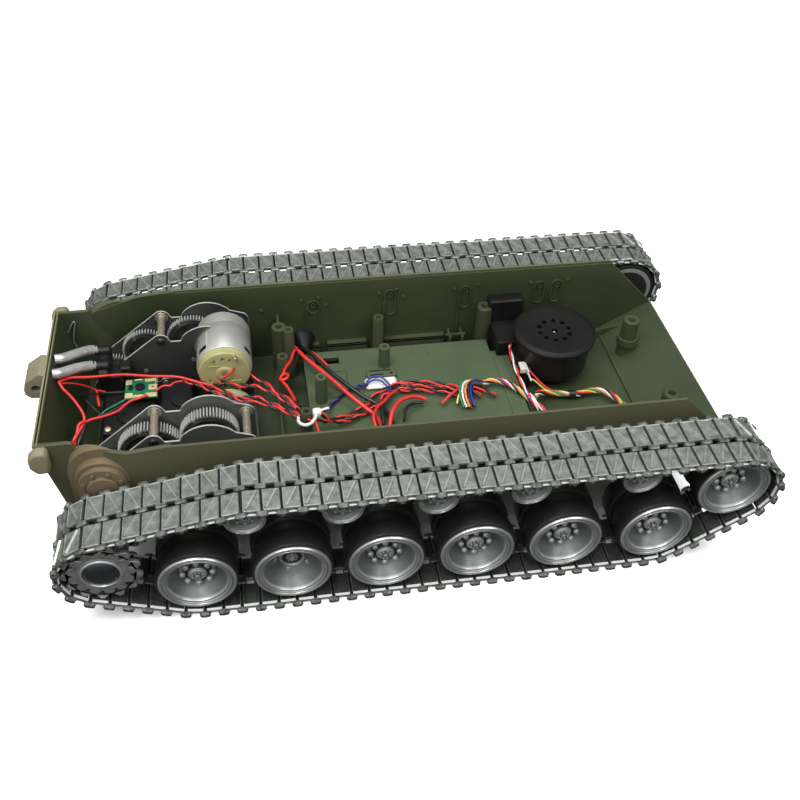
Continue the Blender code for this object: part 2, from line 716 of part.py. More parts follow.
def smoke_pipes_mesh():
    """Two bent pipes on one flange, from the manifold back to the rear plate."""
    x = WHEEL_1_X
    flange = box((x - 52.4, 13.0, 66.5), (x - 49.5 - GAP, 35.0, 74.5))
    pipes = []
    for route in PIPE_ROUTES:
        stations = [(x + dx, y, z) for dx, y, z in route]
        pipe = swept("pipe", stations, 2.9, None, 3)
        graph = bpy.context.evaluated_depsgraph_get()
        pipes.append(bpy.data.meshes.new_from_object(pipe.evaluated_get(graph)))
        bpy.data.objects.remove(pipe, do_unlink=True)
    return joined(flange, *pipes)


SWEEP_STEP = 4.8               # spacing of a tube's rings, in radii


def swept(name, route, radius, mat, resolution=2):
    """Round tube along a smooth curve through the route's points."""
    points = smooth_line(route, SWEEP_STEP * radius)
    curve = bpy.data.curves.new(name, "CURVE")
    curve.dimensions = "3D"
    curve.bevel_depth = radius * MM
    curve.bevel_resolution = resolution
    curve.use_fill_caps = True
    spline = curve.splines.new("POLY")
    spline.points.add(len(points) - 1)
    for spot, point in zip(spline.points, points):
        spot.co = (*(Vector(point) * MM), 1.0)
    if mat:
        curve.materials.append(mat)
    obj = bpy.data.objects.new(name, curve)
    bpy.context.scene.collection.objects.link(obj)
    return obj


def smooth_line(route, step):
    """Points about one step apart on a Catmull-Rom curve through the route."""
    route = [Vector(p) for p in route]
    ends = [2 * route[0] - route[1]] + route + [2 * route[-1] - route[-2]]
    points = []
    for i in range(1, len(ends) - 2):
        a, b, c, d = ends[i - 1:i + 3]
        count = max(1, round((c - b).length / step))
        for k in range(count):
            t = k / count
            points.append(0.5 * (2 * b + (c - a) * t + (2 * a - 5 * b + 4 * c - d) * t ** 2
                                 + (3 * b - a - 3 * c + d) * t ** 3))
    points.append(route[-1])
    return points


def equipment(looks):
    place("battery_cover", deck_mesh(), looks["hull"])
    place("speaker_box", speaker_mesh(), looks["black"])
    place("smoke_unit", smoke_unit_mesh(), looks["black"])
    place("smoke_pipes", smoke_pipes_mesh(), looks["chrome"])


# ---- wiring: stations are measured from the first road wheel ----------------------
MOTOR_HARNESS = (
    (-10, 10, 59), (0, 1, 63), (10, -4, 64.2), (20, -6, 64.2), (33, -9, 63.5), (46, -12, 62),
    (57, -12, 58), (68, -16, 50), (77, -28, 44.5), (85, -41, 43.5),
)
BATTERY_LEAD = (
    (63, 53.5, 36), (64.5, 51, 46), (66, 43, 53.5), (71, 28, 54), (80, 16, 52.5), (92, 5, 48), (101, -4, 45),
    (105, -14, 44), (104, -28, 43.5), (99, -40, 43),
)
SPEAKER_LOOM = (
    (112, -34, 43.5), (113, -20, 44), (118, -4, 44.5), (127, 6, 44.5), (140, 5, 44.5), (153, 1, 44.5),
    (164, 4, 45), (178, 6, 45), (188, 2, 45), (196, -4, 44), (204, -8, 38.5), (213, -8, 34), (226, -5, 33),
    (240, -6, 33), (250, -14, 33), (254, -27, 33),
)


def wiring(looks):
    for name, route, radius in (
        ("motor_harness", MOTOR_HARNESS, 2.4),
        ("battery_lead", BATTERY_LEAD, 2.2),
        ("speaker_loom", SPEAKER_LOOM, 2.2),
    ):
        stations = [(WHEEL_1_X + x, y, z) for x, y, z in route]
        swept(name, stations, radius, looks["wire"])


# ---- the whole part ---------------------------------------------------------------
def build():
    clear_scene()
    looks = {
        "hull": material("hull_olive", (0.085, 0.095, 0.045), 0.55),
        "track": material("track_zinc", (0.42, 0.44, 0.40), 0.45, 0.9),
        "rim": material("rim_zinc", (0.62, 0.63, 0.62), 0.3, 1.0),
        "tyre": material("tyre_black", (0.02, 0.02, 0.02), 0.7),
        "steel": material("drive_steel", (0.22, 0.23, 0.22), 0.4, 1.0),
        "plate": material("gearbox_plate", (0.30, 0.31, 0.30), 0.35, 1.0),
        "gear": material("gear_steel", (0.40, 0.40, 0.38), 0.4, 1.0),
        "brass": material("pinion_brass", (0.70, 0.50, 0.20), 0.3, 1.0),
        "motor": material("motor_can", (0.55, 0.56, 0.54), 0.35, 1.0),
        "plastic": material("arm_black", (0.03, 0.03, 0.03), 0.5),
        "black": material("satin_black", (0.02, 0.02, 0.02), 0.45),
        "chrome": material("pipe_chrome", (0.75, 0.75, 0.75), 0.12, 1.0),
        "wire": material("wire_red", (0.75, 0.06, 0.05), 0.4),
    }
    place("hull_tub", hull_mesh(), looks["hull"])
    running_gear(looks)
    gearboxes(looks)
    equipment(looks)
    wiring(looks)


build()
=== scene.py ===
"""Looks of the tracked tank chassis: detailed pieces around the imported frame.

Lengths are in millimetres in the part's frame: +X front, +Y left, +Z up, ground at z = 0.
"""
import math
import random

import bmesh
import bpy
from mathutils import Matrix, Vector


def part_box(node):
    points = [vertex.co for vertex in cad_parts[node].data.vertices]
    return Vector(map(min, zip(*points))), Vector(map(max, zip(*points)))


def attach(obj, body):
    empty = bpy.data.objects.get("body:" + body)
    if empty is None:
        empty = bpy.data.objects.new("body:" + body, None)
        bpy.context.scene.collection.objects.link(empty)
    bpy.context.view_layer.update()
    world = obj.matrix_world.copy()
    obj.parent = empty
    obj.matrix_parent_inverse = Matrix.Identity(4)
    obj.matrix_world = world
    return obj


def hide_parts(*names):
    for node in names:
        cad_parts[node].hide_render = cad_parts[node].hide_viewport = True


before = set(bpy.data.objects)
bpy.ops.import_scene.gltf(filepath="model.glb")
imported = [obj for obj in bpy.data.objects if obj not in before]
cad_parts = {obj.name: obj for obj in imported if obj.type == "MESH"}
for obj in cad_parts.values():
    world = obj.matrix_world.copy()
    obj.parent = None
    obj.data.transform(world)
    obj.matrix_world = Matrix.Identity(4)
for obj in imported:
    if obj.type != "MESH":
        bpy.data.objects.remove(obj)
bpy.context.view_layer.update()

MM = 0.001
SIDES = (("left", 1), ("right", -1))
WHEEL_COUNT = 6
ROLLER_COUNT = 5


def middle(node):
    """Middle of a CAD node's box, in millimetres."""
    low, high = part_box(node)
    return (low + high) / 2 / MM


WHEEL_1 = middle("left_road_wheel_1")
X1 = WHEEL_1.x                     # stations below are measured from here
IDLER = middle("left_idler")
WHEEL_Z = WHEEL_1.z
SPROCKET_Z = 41.0

TRACK_T = 4.3
TRACK_TOP_Z = 77.8
TRACK_IN_Y = 70.8
TRACK_OUT_Y = 108.4
LINK_PITCH = 9.5
SPROCKET_X = X1 - 44.3
SPROCKET_BELT_R = 19.3
IDLER_BELT_R = 21.3
ROLLER_Z = 62.4
WHEEL_FACE_Y = 103.8
ROLLER_FACE_Y = 98.0
IDLER_FACE_Y = 101.5
WHEEL_WIDTH = 30.4
TYRE_WIDTH = 12.0

TAPER = (X1 - 56.0, X1 - 28.0)     # where the side walls run in at the rear
TINT_WALL_Y = (53.2, 63.4)         # tint starts this far out at the taper's two ends
# below the first height the outer tint is painted shade, near black; it fades back to the full tint by the second
PAINTED_SHADE_DEEP_Z, PAINTED_SHADE_END_Z = 56.0, 64.0


# ---- materials --------------------------------------------------------------------
def new_material(name):
    """Empty node material: itself, its nodes, its links and its shader."""
    mat = bpy.data.materials.new(name)
    mat.use_nodes = True
    tree = mat.node_tree
    return mat, tree.nodes, tree.links, tree.nodes["Principled BSDF"]


def noise(nodes, links, scale, detail=4.0, rough=0.55, stretch=None):
    """Noise texture on object coordinates in metres; stretch scales each axis first."""
    source = nodes.new("ShaderNodeTexCoord").outputs["Object"]
    if stretch:
        mapping = nodes.new("ShaderNodeMapping")
        mapping.inputs["Scale"].default_value = stretch
        links.new(source, mapping.inputs["Vector"])
        source = mapping.outputs["Vector"]
    tex = nodes.new("ShaderNodeTexNoise")
    tex.inputs["Scale"].default_value = scale
    tex.inputs["Detail"].default_value = detail
    tex.inputs["Roughness"].default_value = rough
    links.new(source, tex.inputs["Vector"])
    return tex.outputs["Fac"]


def ramp(nodes, links, fac, stops):
    """Colour ramp; a stop is a place and a colour or a grey."""
    node = nodes.new("ShaderNodeValToRGB")
    elements = node.color_ramp.elements
    while len(elements) < len(stops):
        elements.new(0.5)
    for element, (place, value) in zip(elements, stops):
        element.position = place
        colour = value if isinstance(value, (tuple, list)) else (value, value, value)
        element.color = (*colour, 1.0)
    links.new(fac, node.inputs["Fac"])
    return node.outputs["Color"]


def bump(nodes, links, shader, heights):
    """Chain of bump nodes: (height output, strength, distance in mm)."""
    previous = None
    for height, strength, distance in heights:
        node = nodes.new("ShaderNodeBump")
        node.inputs["Strength"].default_value = strength
        node.inputs["Distance"].default_value = distance * MM
        links.new(height, node.inputs["Height"])
        if previous:
            links.new(previous, node.inputs["Normal"])
        previous = node.outputs["Normal"]
    links.new(previous, shader.inputs["Normal"])


def edge_wear(nodes, links):
    """1 on convex edges, from the mesh's pointiness."""
    geometry = nodes.new("ShaderNodeNewGeometry")
    return ramp(nodes, links, geometry.outputs["Pointiness"], ((0.51, 0.0), (0.58, 1.0)))


def blend_colour(nodes, links, fac, a, b):
    """Mix of two colours; each one is an output or a plain colour."""
    node = nodes.new("ShaderNodeMix")
    node.data_type = "RGBA"
    links.new(fac, node.inputs[0])
    for value, socket in ((a, node.inputs[6]), (b, node.inputs[7])):
        if hasattr(value, "links"):
            links.new(value, socket)
        else:
            socket.default_value = (*value, 1.0)
    return node.outputs[2]


def map_range(nodes, links, source, values):
    """Map Range node; values are its from low, from high, to low and to high."""
    node = nodes.new("ShaderNodeMapRange")
    for socket, value in zip(list(node.inputs)[1:5], values):
        socket.default_value = value
    links.new(source, node.inputs["Value"])
    return node.outputs[0]


def math_node(nodes, links, operation, first, second=None):
    """Math node; each value is an output or a number."""
    node = nodes.new("ShaderNodeMath")
    node.operation = operation
    for value, socket in zip((first, second), node.inputs):
        if hasattr(value, "links"):
            links.new(value, socket)
        elif value is not None:
            socket.default_value = value
    return node.outputs[0]


def place_on_object(nodes, links):
    """X, Y and Z on the object, in metres."""
    split = nodes.new("ShaderNodeSeparateXYZ")
    links.new(nodes.new("ShaderNodeTexCoord").outputs["Object"], split.inputs["Vector"])
    return split.outputs


def outside_tint_with_painted_shade(nodes, links, inside, outer):
    """The inside colour, and the outer tint on the outside of the walls, darkened low down as painted shade."""
    place = place_on_object(nodes, links)
    distance = math_node(nodes, links, "ABSOLUTE", place["Y"])
    wall = map_range(nodes, links, place["X"], [v * MM for v in (*TAPER, *TINT_WALL_Y)])
    beyond = math_node(nodes, links, "GREATER_THAN", distance, wall)
    # painted shade: the outer tint goes dark towards the bottom of the walls
    low = map_range(nodes, links, place["Z"], (PAINTED_SHADE_DEEP_Z * MM, PAINTED_SHADE_END_Z * MM, 0.0, 1.0))
    tint = blend_colour(nodes, links, low, tuple(c * 0.12 for c in outer), outer)
    return blend_colour(nodes, links, beyond, inside, tint)


def surface(name, dark, light, rough=(0.4, 0.6), metallic=0.0, scale=60.0, grain=900.0,
            grain_depth=0.02, wear=None, coat=0.0, streak=None, specular=0.5, outer=None):
    """General material: two-tone mottling, roughness variation, fine grain, worn edges.

    outer is the tint of the outside of the side walls, which taper in at the rear; low down it is darkened as
    painted shade.
    """
    mat, nodes, links, shader = new_material(name)
    broad = noise(nodes, links, scale, stretch=streak)
    fine = noise(nodes, links, grain, 3.0, 0.6, stretch=streak)
    colour = ramp(nodes, links, broad, ((0.3, dark), (0.7, light)))
    if outer:
        colour = outside_tint_with_painted_shade(nodes, links, colour, outer)
    if wear:
        mask = edge_wear(nodes, links)
        colour = blend_colour(nodes, links, mask, colour, wear)
    links.new(colour, shader.inputs["Base Color"])
    links.new(ramp(nodes, links, fine, ((0.25, rough[0]), (0.75, rough[1]))), shader.inputs["Roughness"])
    shader.inputs["Metallic"].default_value = metallic
    if coat:
        shader.inputs["Coat Weight"].default_value = coat
        shader.inputs["Coat Roughness"].default_value = 0.15
    shader.inputs["Specular IOR Level"].default_value = specular
    if grain_depth:
        bump(nodes, links, shader, ((fine, 0.6, grain_depth), (broad, 0.3, grain_depth * 2)))
    return mat


def make_materials():
    """Every finish by its short name."""
    looks = {
        "hull": surface("hull_olive", (0.033, 0.045, 0.020), (0.046, 0.061, 0.028), (0.42, 0.6),
                        scale=25, grain=2200, grain_depth=0.012, wear=(0.115, 0.12, 0.065), specular=0.35,
                        outer=(0.055, 0.050, 0.026)),
        "mould": surface("hull_moulding", (0.040, 0.049, 0.023), (0.062, 0.070, 0.036), (0.42, 0.6),
                         scale=25, grain=2200, grain_depth=0.012, specular=0.35),
        "deck": surface("deck_green", (0.058, 0.086, 0.042), (0.078, 0.108, 0.056), (0.45, 0.62),
                        scale=25, grain=2200, grain_depth=0.012, specular=0.3),
        "tan": surface("hull_tan", (0.205, 0.180, 0.105), (0.270, 0.240, 0.150), (0.45, 0.62),
                       scale=30, grain=2200, grain_depth=0.012, specular=0.35),
        "brown": surface("hull_brown", (0.110, 0.080, 0.042), (0.170, 0.130, 0.075), (0.45, 0.62),
                         scale=30, grain=2200, grain_depth=0.012, specular=0.35),
        "track": surface("track_zinc", (0.150, 0.165, 0.145), (0.340, 0.365, 0.325), (0.36, 0.60),
                         metallic=0.65, scale=260, grain=1500, grain_depth=0.06),
        # painted highlight: near-white finish for the glint strips along the pads' inner edges
        "bright": surface("painted_glint_edge", (0.78, 0.80, 0.78), (0.90, 0.92, 0.90), (0.28, 0.40),
                          metallic=0.2, scale=260, grain=1500, grain_depth=0.01),
        # painted highlight: a lighter copy of the track zinc for the ridges and rims, for the light they catch
        "ridge": surface("ridge_zinc_painted_highlight", (0.33, 0.35, 0.325), (0.56, 0.58, 0.54), (0.26, 0.42),
                         metallic=0.65, scale=260, grain=1500, grain_depth=0.03),
        # painted shade: a darker copy of the track zinc for the end pieces and the guide
        "connector": surface("connector_zinc_painted_shade", (0.070, 0.077, 0.068), (0.300, 0.320, 0.290), (0.30, 0.50),
                             metallic=0.65, scale=340, grain=1500, grain_depth=0.05),
        # darker copy of the track zinc for the inside of the loop: partly rust and grime, partly painted shade
        "under": surface("track_underside_grime_and_shade", (0.030, 0.034, 0.031), (0.085, 0.092, 0.085), (0.4, 0.6),
                         metallic=0.5, scale=160, grain=1300, grain_depth=0.03),
        "rim": surface("rim_zinc", (0.36, 0.375, 0.365), (0.50, 0.51, 0.50), (0.26, 0.40),
                       metallic=0.8, scale=90, grain=700, grain_depth=0.008, wear=(0.70, 0.71, 0.70)),
        "dish": surface("dish_zinc", (0.130, 0.150, 0.142), (0.225, 0.245, 0.235), (0.34, 0.50),
                        metallic=0.6, scale=120, grain=800, grain_depth=0.015, wear=(0.60, 0.62, 0.60)),
        "sprocket": surface("sprocket_steel", (0.24, 0.245, 0.24), (0.50, 0.50, 0.49), (0.34, 0.50),
                            metallic=0.75, scale=240, grain=1200, grain_depth=0.03),
        "cap": surface("cap_dark", (0.035, 0.043, 0.047), (0.060, 0.070, 0.075), (0.16, 0.26),
                       metallic=0.6, scale=60, grain=600, grain_depth=0.006, coat=0.4),
        "tyre": surface("tyre_rubber", (0.008, 0.008, 0.008), (0.015, 0.015, 0.015), (0.34, 0.5),
                        scale=80, grain=1400, grain_depth=0.02),
        "arm": surface("arm_plastic", (0.012, 0.012, 0.013), (0.022, 0.022, 0.024), (0.35, 0.5),
                       scale=80, grain=1500, grain_depth=0.015),
        "plate_left": surface("gear_plate_dark", (0.052, 0.056, 0.054), (0.078, 0.083, 0.078), (0.34, 0.48),
                              metallic=0.5, scale=45, grain=600, grain_depth=0.004),
        "plate_right": surface("gear_plate", (0.105, 0.113, 0.100), (0.165, 0.172, 0.150), (0.34, 0.48),
                               metallic=0.5, scale=45, grain=600, grain_depth=0.004),
        "edge": surface("plate_edge", (0.52, 0.53, 0.51), (0.68, 0.69, 0.66), (0.30, 0.42),
                        metallic=0.4, scale=90, grain=600, grain_depth=0.003),
        "gear": surface("gear_steel", (0.040, 0.042, 0.040), (0.085, 0.087, 0.083), (0.30, 0.45),
                        metallic=0.5, scale=150, grain=900, grain_depth=0.008,
                        wear=(0.62, 0.62, 0.58)),
        "nickel": surface("nickel", (0.50, 0.45, 0.34), (0.62, 0.57, 0.46), (0.24, 0.32),
                          metallic=0.75, scale=40, grain=300, grain_depth=0.0),
        "pipe": surface("pipe_chrome", (0.44, 0.43, 0.41), (0.74, 0.73, 0.70), (0.20, 0.32),
                        metallic=0.6, scale=70, grain=300, grain_depth=0.0),
        "screw": surface("screw_black", (0.006, 0.006, 0.007), (0.012, 0.012, 0.013), (0.16, 0.26),
                         metallic=0.0, scale=150, grain=1500, grain_depth=0.01, specular=0.6),
        "brass": surface("brass", (0.60, 0.42, 0.16), (0.76, 0.56, 0.24), (0.22, 0.36),
                         metallic=1.0, scale=100, grain=1000, grain_depth=0.01),
        "can": surface("motor_can", (0.32, 0.335, 0.29), (0.40, 0.415, 0.36), (0.34, 0.46),
                       metallic=0.55, scale=35, grain=1200, grain_depth=0.008,
                       streak=(1, 5, 1), wear=(0.75, 0.75, 0.70)),
        "bell": surface("bell_cream", (0.34, 0.33, 0.14), (0.43, 0.41, 0.19), (0.32, 0.46),
                        scale=120, grain=1200, grain_depth=0.01),
        "black": surface("black_satin", (0.006, 0.0055, 0.0055), (0.010, 0.0095, 0.0095), (0.38, 0.52),
                         scale=50, grain=2000, grain_depth=0.012, specular=0.28),
        "chrome": surface("chrome", (0.66, 0.65, 0.63), (0.80, 0.79, 0.77), (0.06, 0.16),
                          metallic=1.0, scale=60, grain=500, grain_depth=0.006),
        "board": surface("board_green", (0.006, 0.11, 0.045), (0.012, 0.17, 0.075), (0.25, 0.4),
                         scale=180, grain=900, grain_depth=0.02, coat=0.3),
        "pad": surface("solder_pad", (0.50, 0.42, 0.18), (0.72, 0.63, 0.34), (0.22, 0.38),
                       metallic=0.2, scale=300, grain=900, grain_depth=0.03),
        "white": surface("nylon_white", (0.66, 0.66, 0.61), (0.80, 0.79, 0.75), (0.34, 0.48),
                         scale=120, grain=1200, grain_depth=0.01),
    }
    for name, colour in (
        ("red", (0.72, 0.035, 0.030)), ("wire_black", (0.014, 0.014, 0.015)),
        ("blue", (0.020, 0.030, 0.30)), ("wire_white", (0.80, 0.78, 0.74)),
        ("yellow", (0.78, 0.66, 0.12)), ("green", (0.01, 0.26, 0.11)),
        ("orange", (0.78, 0.26, 0.08)),
    ):
        dark = tuple(c * 0.82 for c in colour)
        looks[name] = surface(f"insulation_{name}", dark, colour, (0.26, 0.38), scale=90, grain=900,
                              grain_depth=0.008)
    return looks


# ---- shapes -----------------------------------------------------------------------
class Shape:
    """Points and faces of one or more closed solids, in millimetres."""

    def __init__(self):
        self.points = []
        self.faces = []

    def add(self, points, faces):
        base = len(self.points)
        self.points += [Vector(p) for p in points]
        self.faces += [[base + i for i in face] for face in faces]
        return self

    def put(self, other, matrix=Matrix.Identity(4)):
        return self.add([matrix @ p for p in other.points], other.faces)

    def extrude(self, outline, low, high, lift):
        """Outline of 2-D points raised between low and high; lift maps (a, b, h) to a point."""
        count = len(outline)
        points = [lift(a, b, h) for h in (low, high) for a, b in outline]
        faces = [list(range(count)), list(range(count, 2 * count))]
        faces += [[i, (i + 1) % count, (i + 1) % count + count, i + count] for i in range(count)]
        return self.add(points, faces)

    def prism(self, outline, y0, y1):
        return self.extrude(outline, y0, y1, lambda a, b, h: (a, h, b))

    def plate(self, outline, z0, z1):
        return self.extrude(outline, z0, z1, lambda a, b, h: (a, b, h))

    def box(self, low, high, chamfer=0.0):
        """Box between two corners, with its edges chamfered."""
        low, high = Vector(low), Vector(high)
        if not chamfer:
            (x0, y0, z0), (x1, y1, z1) = low, high
            return self.plate([(x0, y0), (x1, y0), (x1, y1), (x0, y1)], z0, z1)
        centre, half = (low + high) / 2, (high - low) / 2
        work = bmesh.new()
        for sx in (-1, 1):
            for sy in (-1, 1):
                for sz in (-1, 1):
                    for axis in range(3):
                        corner = [sx * half.x, sy * half.y, sz * half.z]
                        for k in range(3):
                            if k != axis:
                                corner[k] -= math.copysign(chamfer, corner[k])
                        work.verts.new(centre + Vector(corner))
        bmesh.ops.convex_hull(work, input=work.verts)
        bmesh.ops.dissolve_limit(work, angle_limit=0.01, verts=work.verts, edges=work.edges)
        work.verts.index_update()
        points = [v.co.copy() for v in work.verts]
        faces = [[v.index for v in f.verts] for f in work.faces]
        work.free()
        return self.add(points, faces)

    def bar(self, side, x, y, z, chamfer=0.0):
        """Box from its ranges, with the y range mirrored to its side."""
        low, high = span(side, *y)
        return self.box((x[0], low, z[0]), (x[1], high, z[1]), chamfer)

    def lathe(self, profile, sides=48, at=(0, 0, 0), axis="Y"):
        """Profile of (radius, height) turned about an axis; radius 0 is a pole."""
        rings, points = [], []
        for radius, height in profile:
            if radius == 0:
                rings.append([len(points)] * sides)
                points.append((0.0, height, 0.0))
                continue
            rings.append(list(range(len(points), len(points) + sides)))
            for i in range(sides):
                turn = math.tau * i / sides
                points.append((radius * math.sin(turn), height, radius * math.cos(turn)))
        if axis == "Z":
            points = [(x, -z, y) for x, y, z in points]
        if axis == "X":
            points = [(y, -x, z) for x, y, z in points]
        points = [Vector(p) + Vector(at) for p in points]
        faces = []
        closed = profile[0][0] != 0
        for a in range(len(rings) if closed else len(rings) - 1):
            first, second = rings[a], rings[(a + 1) % len(rings)]
            for i in range(sides):
                j = (i + 1) % sides
                face = list(dict.fromkeys([first[i], first[j], second[j], second[i]]))
                if len(face) > 2:
                    faces.append(face)
        return self.add(points, faces)

    def cylinder(self, at, radius, low, high, axis="Y", sides=24, chamfer=0.0):
        c = chamfer
        profile = [(0, low), (radius - c, low), (radius, low + c), (radius, high - c), (radius - c, high),
                   (0, high)]
        if not c:
            profile = [(0, low), (radius, low), (radius, high), (0, high)]
        return self.lathe(profile, sides, at, axis)

    def mesh(self, name, smooth=35):
        work = bmesh.new()
        verts = [work.verts.new(p * MM) for p in self.points]
        for face in self.faces:
            work.faces.new([verts[i] for i in face])
        bmesh.ops.recalc_face_normals(work, faces=work.faces)
        mesh = bpy.data.meshes.new(name)
        work.to_mesh(mesh)
        work.free()
        mesh.shade_smooth()
        mesh.set_sharp_from_angle(angle=math.radians(smooth))
        return mesh


def circle(cx, cz, radius, start=0.0, end=math.tau, steps=24):
    """Points of a circle or an arc."""
    full = abs(end - start) >= math.tau - 1e-6
    count = steps if full else steps + 1
    turns = [start + (end - start) * i / steps for i in range(count)]
    return [(cx + radius * math.cos(t), cz + radius * math.sin(t)) for t in turns]


def capsule(ax, az, ra, bx, bz, rb, steps=12):
    """Outline round two circles."""
    along = math.atan2(bz - az, bx - ax)
    lean = math.asin((ra - rb) / math.hypot(bx - ax, bz - az))
    first = along + math.pi / 2 - lean
    last = along - math.pi / 2 + lean
    return circle(ax, az, ra, first, last + math.tau, steps) + circle(bx, bz, rb, last, first, steps)


def span(side, y0, y1):
    """A range of y on one side of the middle, lowest first."""
    return min(side * y0, side * y1), max(side * y0, side * y1)


def piece(name, mesh, look, body="chassis", replaces=(), at=None, half_turn=False, bevel=0.0):
    """A visible piece in a finish, riding on a body; bevel softens its edges, in millimetres."""
    if mesh.users == 0 or not mesh.materials:
        mesh.materials.append(LOOKS[look])
    obj = bpy.data.objects.new(name, mesh)
    bpy.context.scene.collection.objects.link(obj)
    if at is not None:
        obj.location = Vector(at) * MM
    if half_turn:
        obj.rotation_euler.z = math.pi
    if bevel:
        modifier = obj.modifiers.new("soft_edges", "BEVEL")
        modifier.width = bevel * MM
        modifier.segments = 2
        modifier.limit_method = "ANGLE"
        modifier.angle_limit = math.radians(40)
        modifier.harden_normals = False
    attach(obj, body)
    if replaces:
        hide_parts(*replaces)
    return obj


def as_mesh(solid):
    return solid.mesh("solid") if isinstance(solid, Shape) else solid


def boolean(base, tools):
    """Mesh of a base Shape or mesh with the tools cut away."""
    target = bpy.data.objects.new("target", as_mesh(base))
    bpy.context.scene.collection.objects.link(target)
    helpers = []
    for tool in tools:
        helper = bpy.data.objects.new("tool", as_mesh(tool))
        bpy.context.scene.collection.objects.link(helper)
        modifier = target.modifiers.new("cut", "BOOLEAN")
        modifier.operation = "DIFFERENCE"
        modifier.solver = "EXACT"
        modifier.use_self = True
        modifier.object = helper
        helpers.append(helper)
    graph = bpy.context.evaluated_depsgraph_get()
    mesh = bpy.data.meshes.new_from_object(target.evaluated_get(graph))
    for obj in helpers + [target]:
        bpy.data.objects.remove(obj, do_unlink=True)
    mesh.shade_smooth()
    mesh.set_sharp_from_angle(angle=math.radians(35))
    return mesh


# ---- tracks -----------------------------------------------------------------------
def belt_path():
    """Inner line of the track as arcs and straights, front by the ground first."""
    wheel_belt = WHEEL_Z - TRACK_T
    line_z = TRACK_TOP_Z - TRACK_T
    circles = [
        (X1, WHEEL_Z, wheel_belt),
        (middle("left_road_wheel_6").x, WHEEL_Z, wheel_belt),
        (IDLER.x, line_z - IDLER_BELT_R, IDLER_BELT_R),
        (middle("left_return_roller_1").x, ROLLER_Z, line_z - ROLLER_Z),
        (SPROCKET_X, SPROCKET_Z, SPROCKET_BELT_R),
    ]
    headings = []
    for i, (x, z, r) in enumerate(circles):
        nx, nz, nr = circles[(i + 1) % len(circles)]
        direct = math.atan2(nz - z, nx - x)
        headings.append(direct + math.asin((r - nr) / math.hypot(nx - x, nz - z)))
    pieces = []
    for i, (x, z, r) in enumerate(circles):
        turn_in, turn_out = headings[i - 1], headings[i]
        while turn_out < turn_in:
            turn_out += math.tau
        pieces.append(("arc", x, z, r, turn_in, turn_out))
        nx, nz, nr = circles[(i + 1) % len(circles)]
        side = (math.sin(headings[i]), -math.cos(headings[i]))
        start = (x + r * side[0], z + r * side[1])
        end = (nx + nr * side[0], nz + nr * side[1])
        pieces.append(("line", start, end, headings[i]))
    return pieces


def belt_length(part):
    if part[0] == "arc":
        return part[3] * (part[5] - part[4])
    return math.dist(part[1], part[2])


def belt_point(pieces, s):
    """Point on the inner line at distance s."""
    for part in pieces:
        length = belt_length(part)
        if s <= length:
            break
        s -= length
    if part[0] == "arc":
        _, x, z, r, turn_in, _ = part
        heading = turn_in + s / r
        return x + r * math.sin(heading), z - r * math.cos(heading)
    _, start, end, _ = part
    share = min(s / length, 1.0)
    return tuple(a + (b - a) * share for a, b in zip(start, end))


def pad_shape(pitch):
    """Two pads of a link: x along the run from its pin, y across, z out."""
    pads = Shape()
    for row in (-1, 1):
        pads.bar(row, (0.55, pitch - 0.55), (1.9, 15.6), (1.5, 3.35), 0.3)
    return pads


def ridge_shape(pitch):
    """Raised lines of the pads: the slanting ridge, the outer rim and the trailing rim."""
    lines = Shape()
    for row in (-1, 1):
        # from the outer rear corner to the middle's front corner
        outer, inner = row * 14.4, row * 3.2
        ends = ((pitch - 2.1, outer), (2.1, inner))
        ridge = []
        for z, half in ((3.2, 0.95), (4.25, 0.45)):
            for x, y in ends:
                ridge += [(x - half, y, z), (x + half, y, z)]
        lines.add(ridge, [[0, 1, 3, 2], [4, 5, 7, 6], [0, 1, 5, 4], [2, 3, 7, 6], [0, 2, 6, 4], [1, 3, 7, 5]])
        lines.bar(row, (0.8, pitch - 0.8), (14.9, 15.7), (3.0, 3.9), 0.25)
        lines.bar(row, (pitch - 1.15, pitch - 0.6), (2.4, 15.2), (3.1, 3.75), 0.15)
    return lines


def connector_shape():
    """Castings on the pin: the centre guide and the two end pieces."""
    ends = Shape().box((-2.8, -1.5, 0.7), (2.8, 1.5, 4.1), 0.6)
    for row in (-1, 1):
        ends.bar(row, (-2.8, 2.8), (15.5, 18.6), (0.6, 4.0), 0.9)
        ends.bar(row, (-1.0, 1.0), (17.4, 18.75), (1.0, 3.4), 0.3)
    return ends


def underside_shape(pitch):
    """What shows of a link from inside the loop: pin tubes, the web and the guide horn."""
    under = Shape()
    for row in (-1, 1):
        under.bar(row, (1.9, pitch - 1.9), (2.0, 15.2), (0.9, 1.7), 0.2)
        for x in (2.0, pitch - 2.0):
            under.cylinder((x, 0, 1.7), 0.95, *span(row, 2.0, 15.2), sides=10)
    under.box((-1.9, -0.95, -4.7), (1.9, 0.95, 1.2), 0.5)
    return under


def gap_shade_shape():
    """Painted shade: a black pin and sheets in the gap between two links, and black discs in the end pieces'
    recesses.
    """
    gap_shade = Shape().cylinder((0, 0, 1.75), 0.7, -15.6, 15.6, sides=8)
    for row in (-1, 1):
        for x in (-1.75, 1.75):
            gap_shade.cylinder((x, 0, 2.2), 0.62, *span(row, 18.0, 18.8), sides=8)
        gap_shade.bar(row, (-3.4, 3.4), (15.3, 15.6), (0.8, 3.0))
    return gap_shade


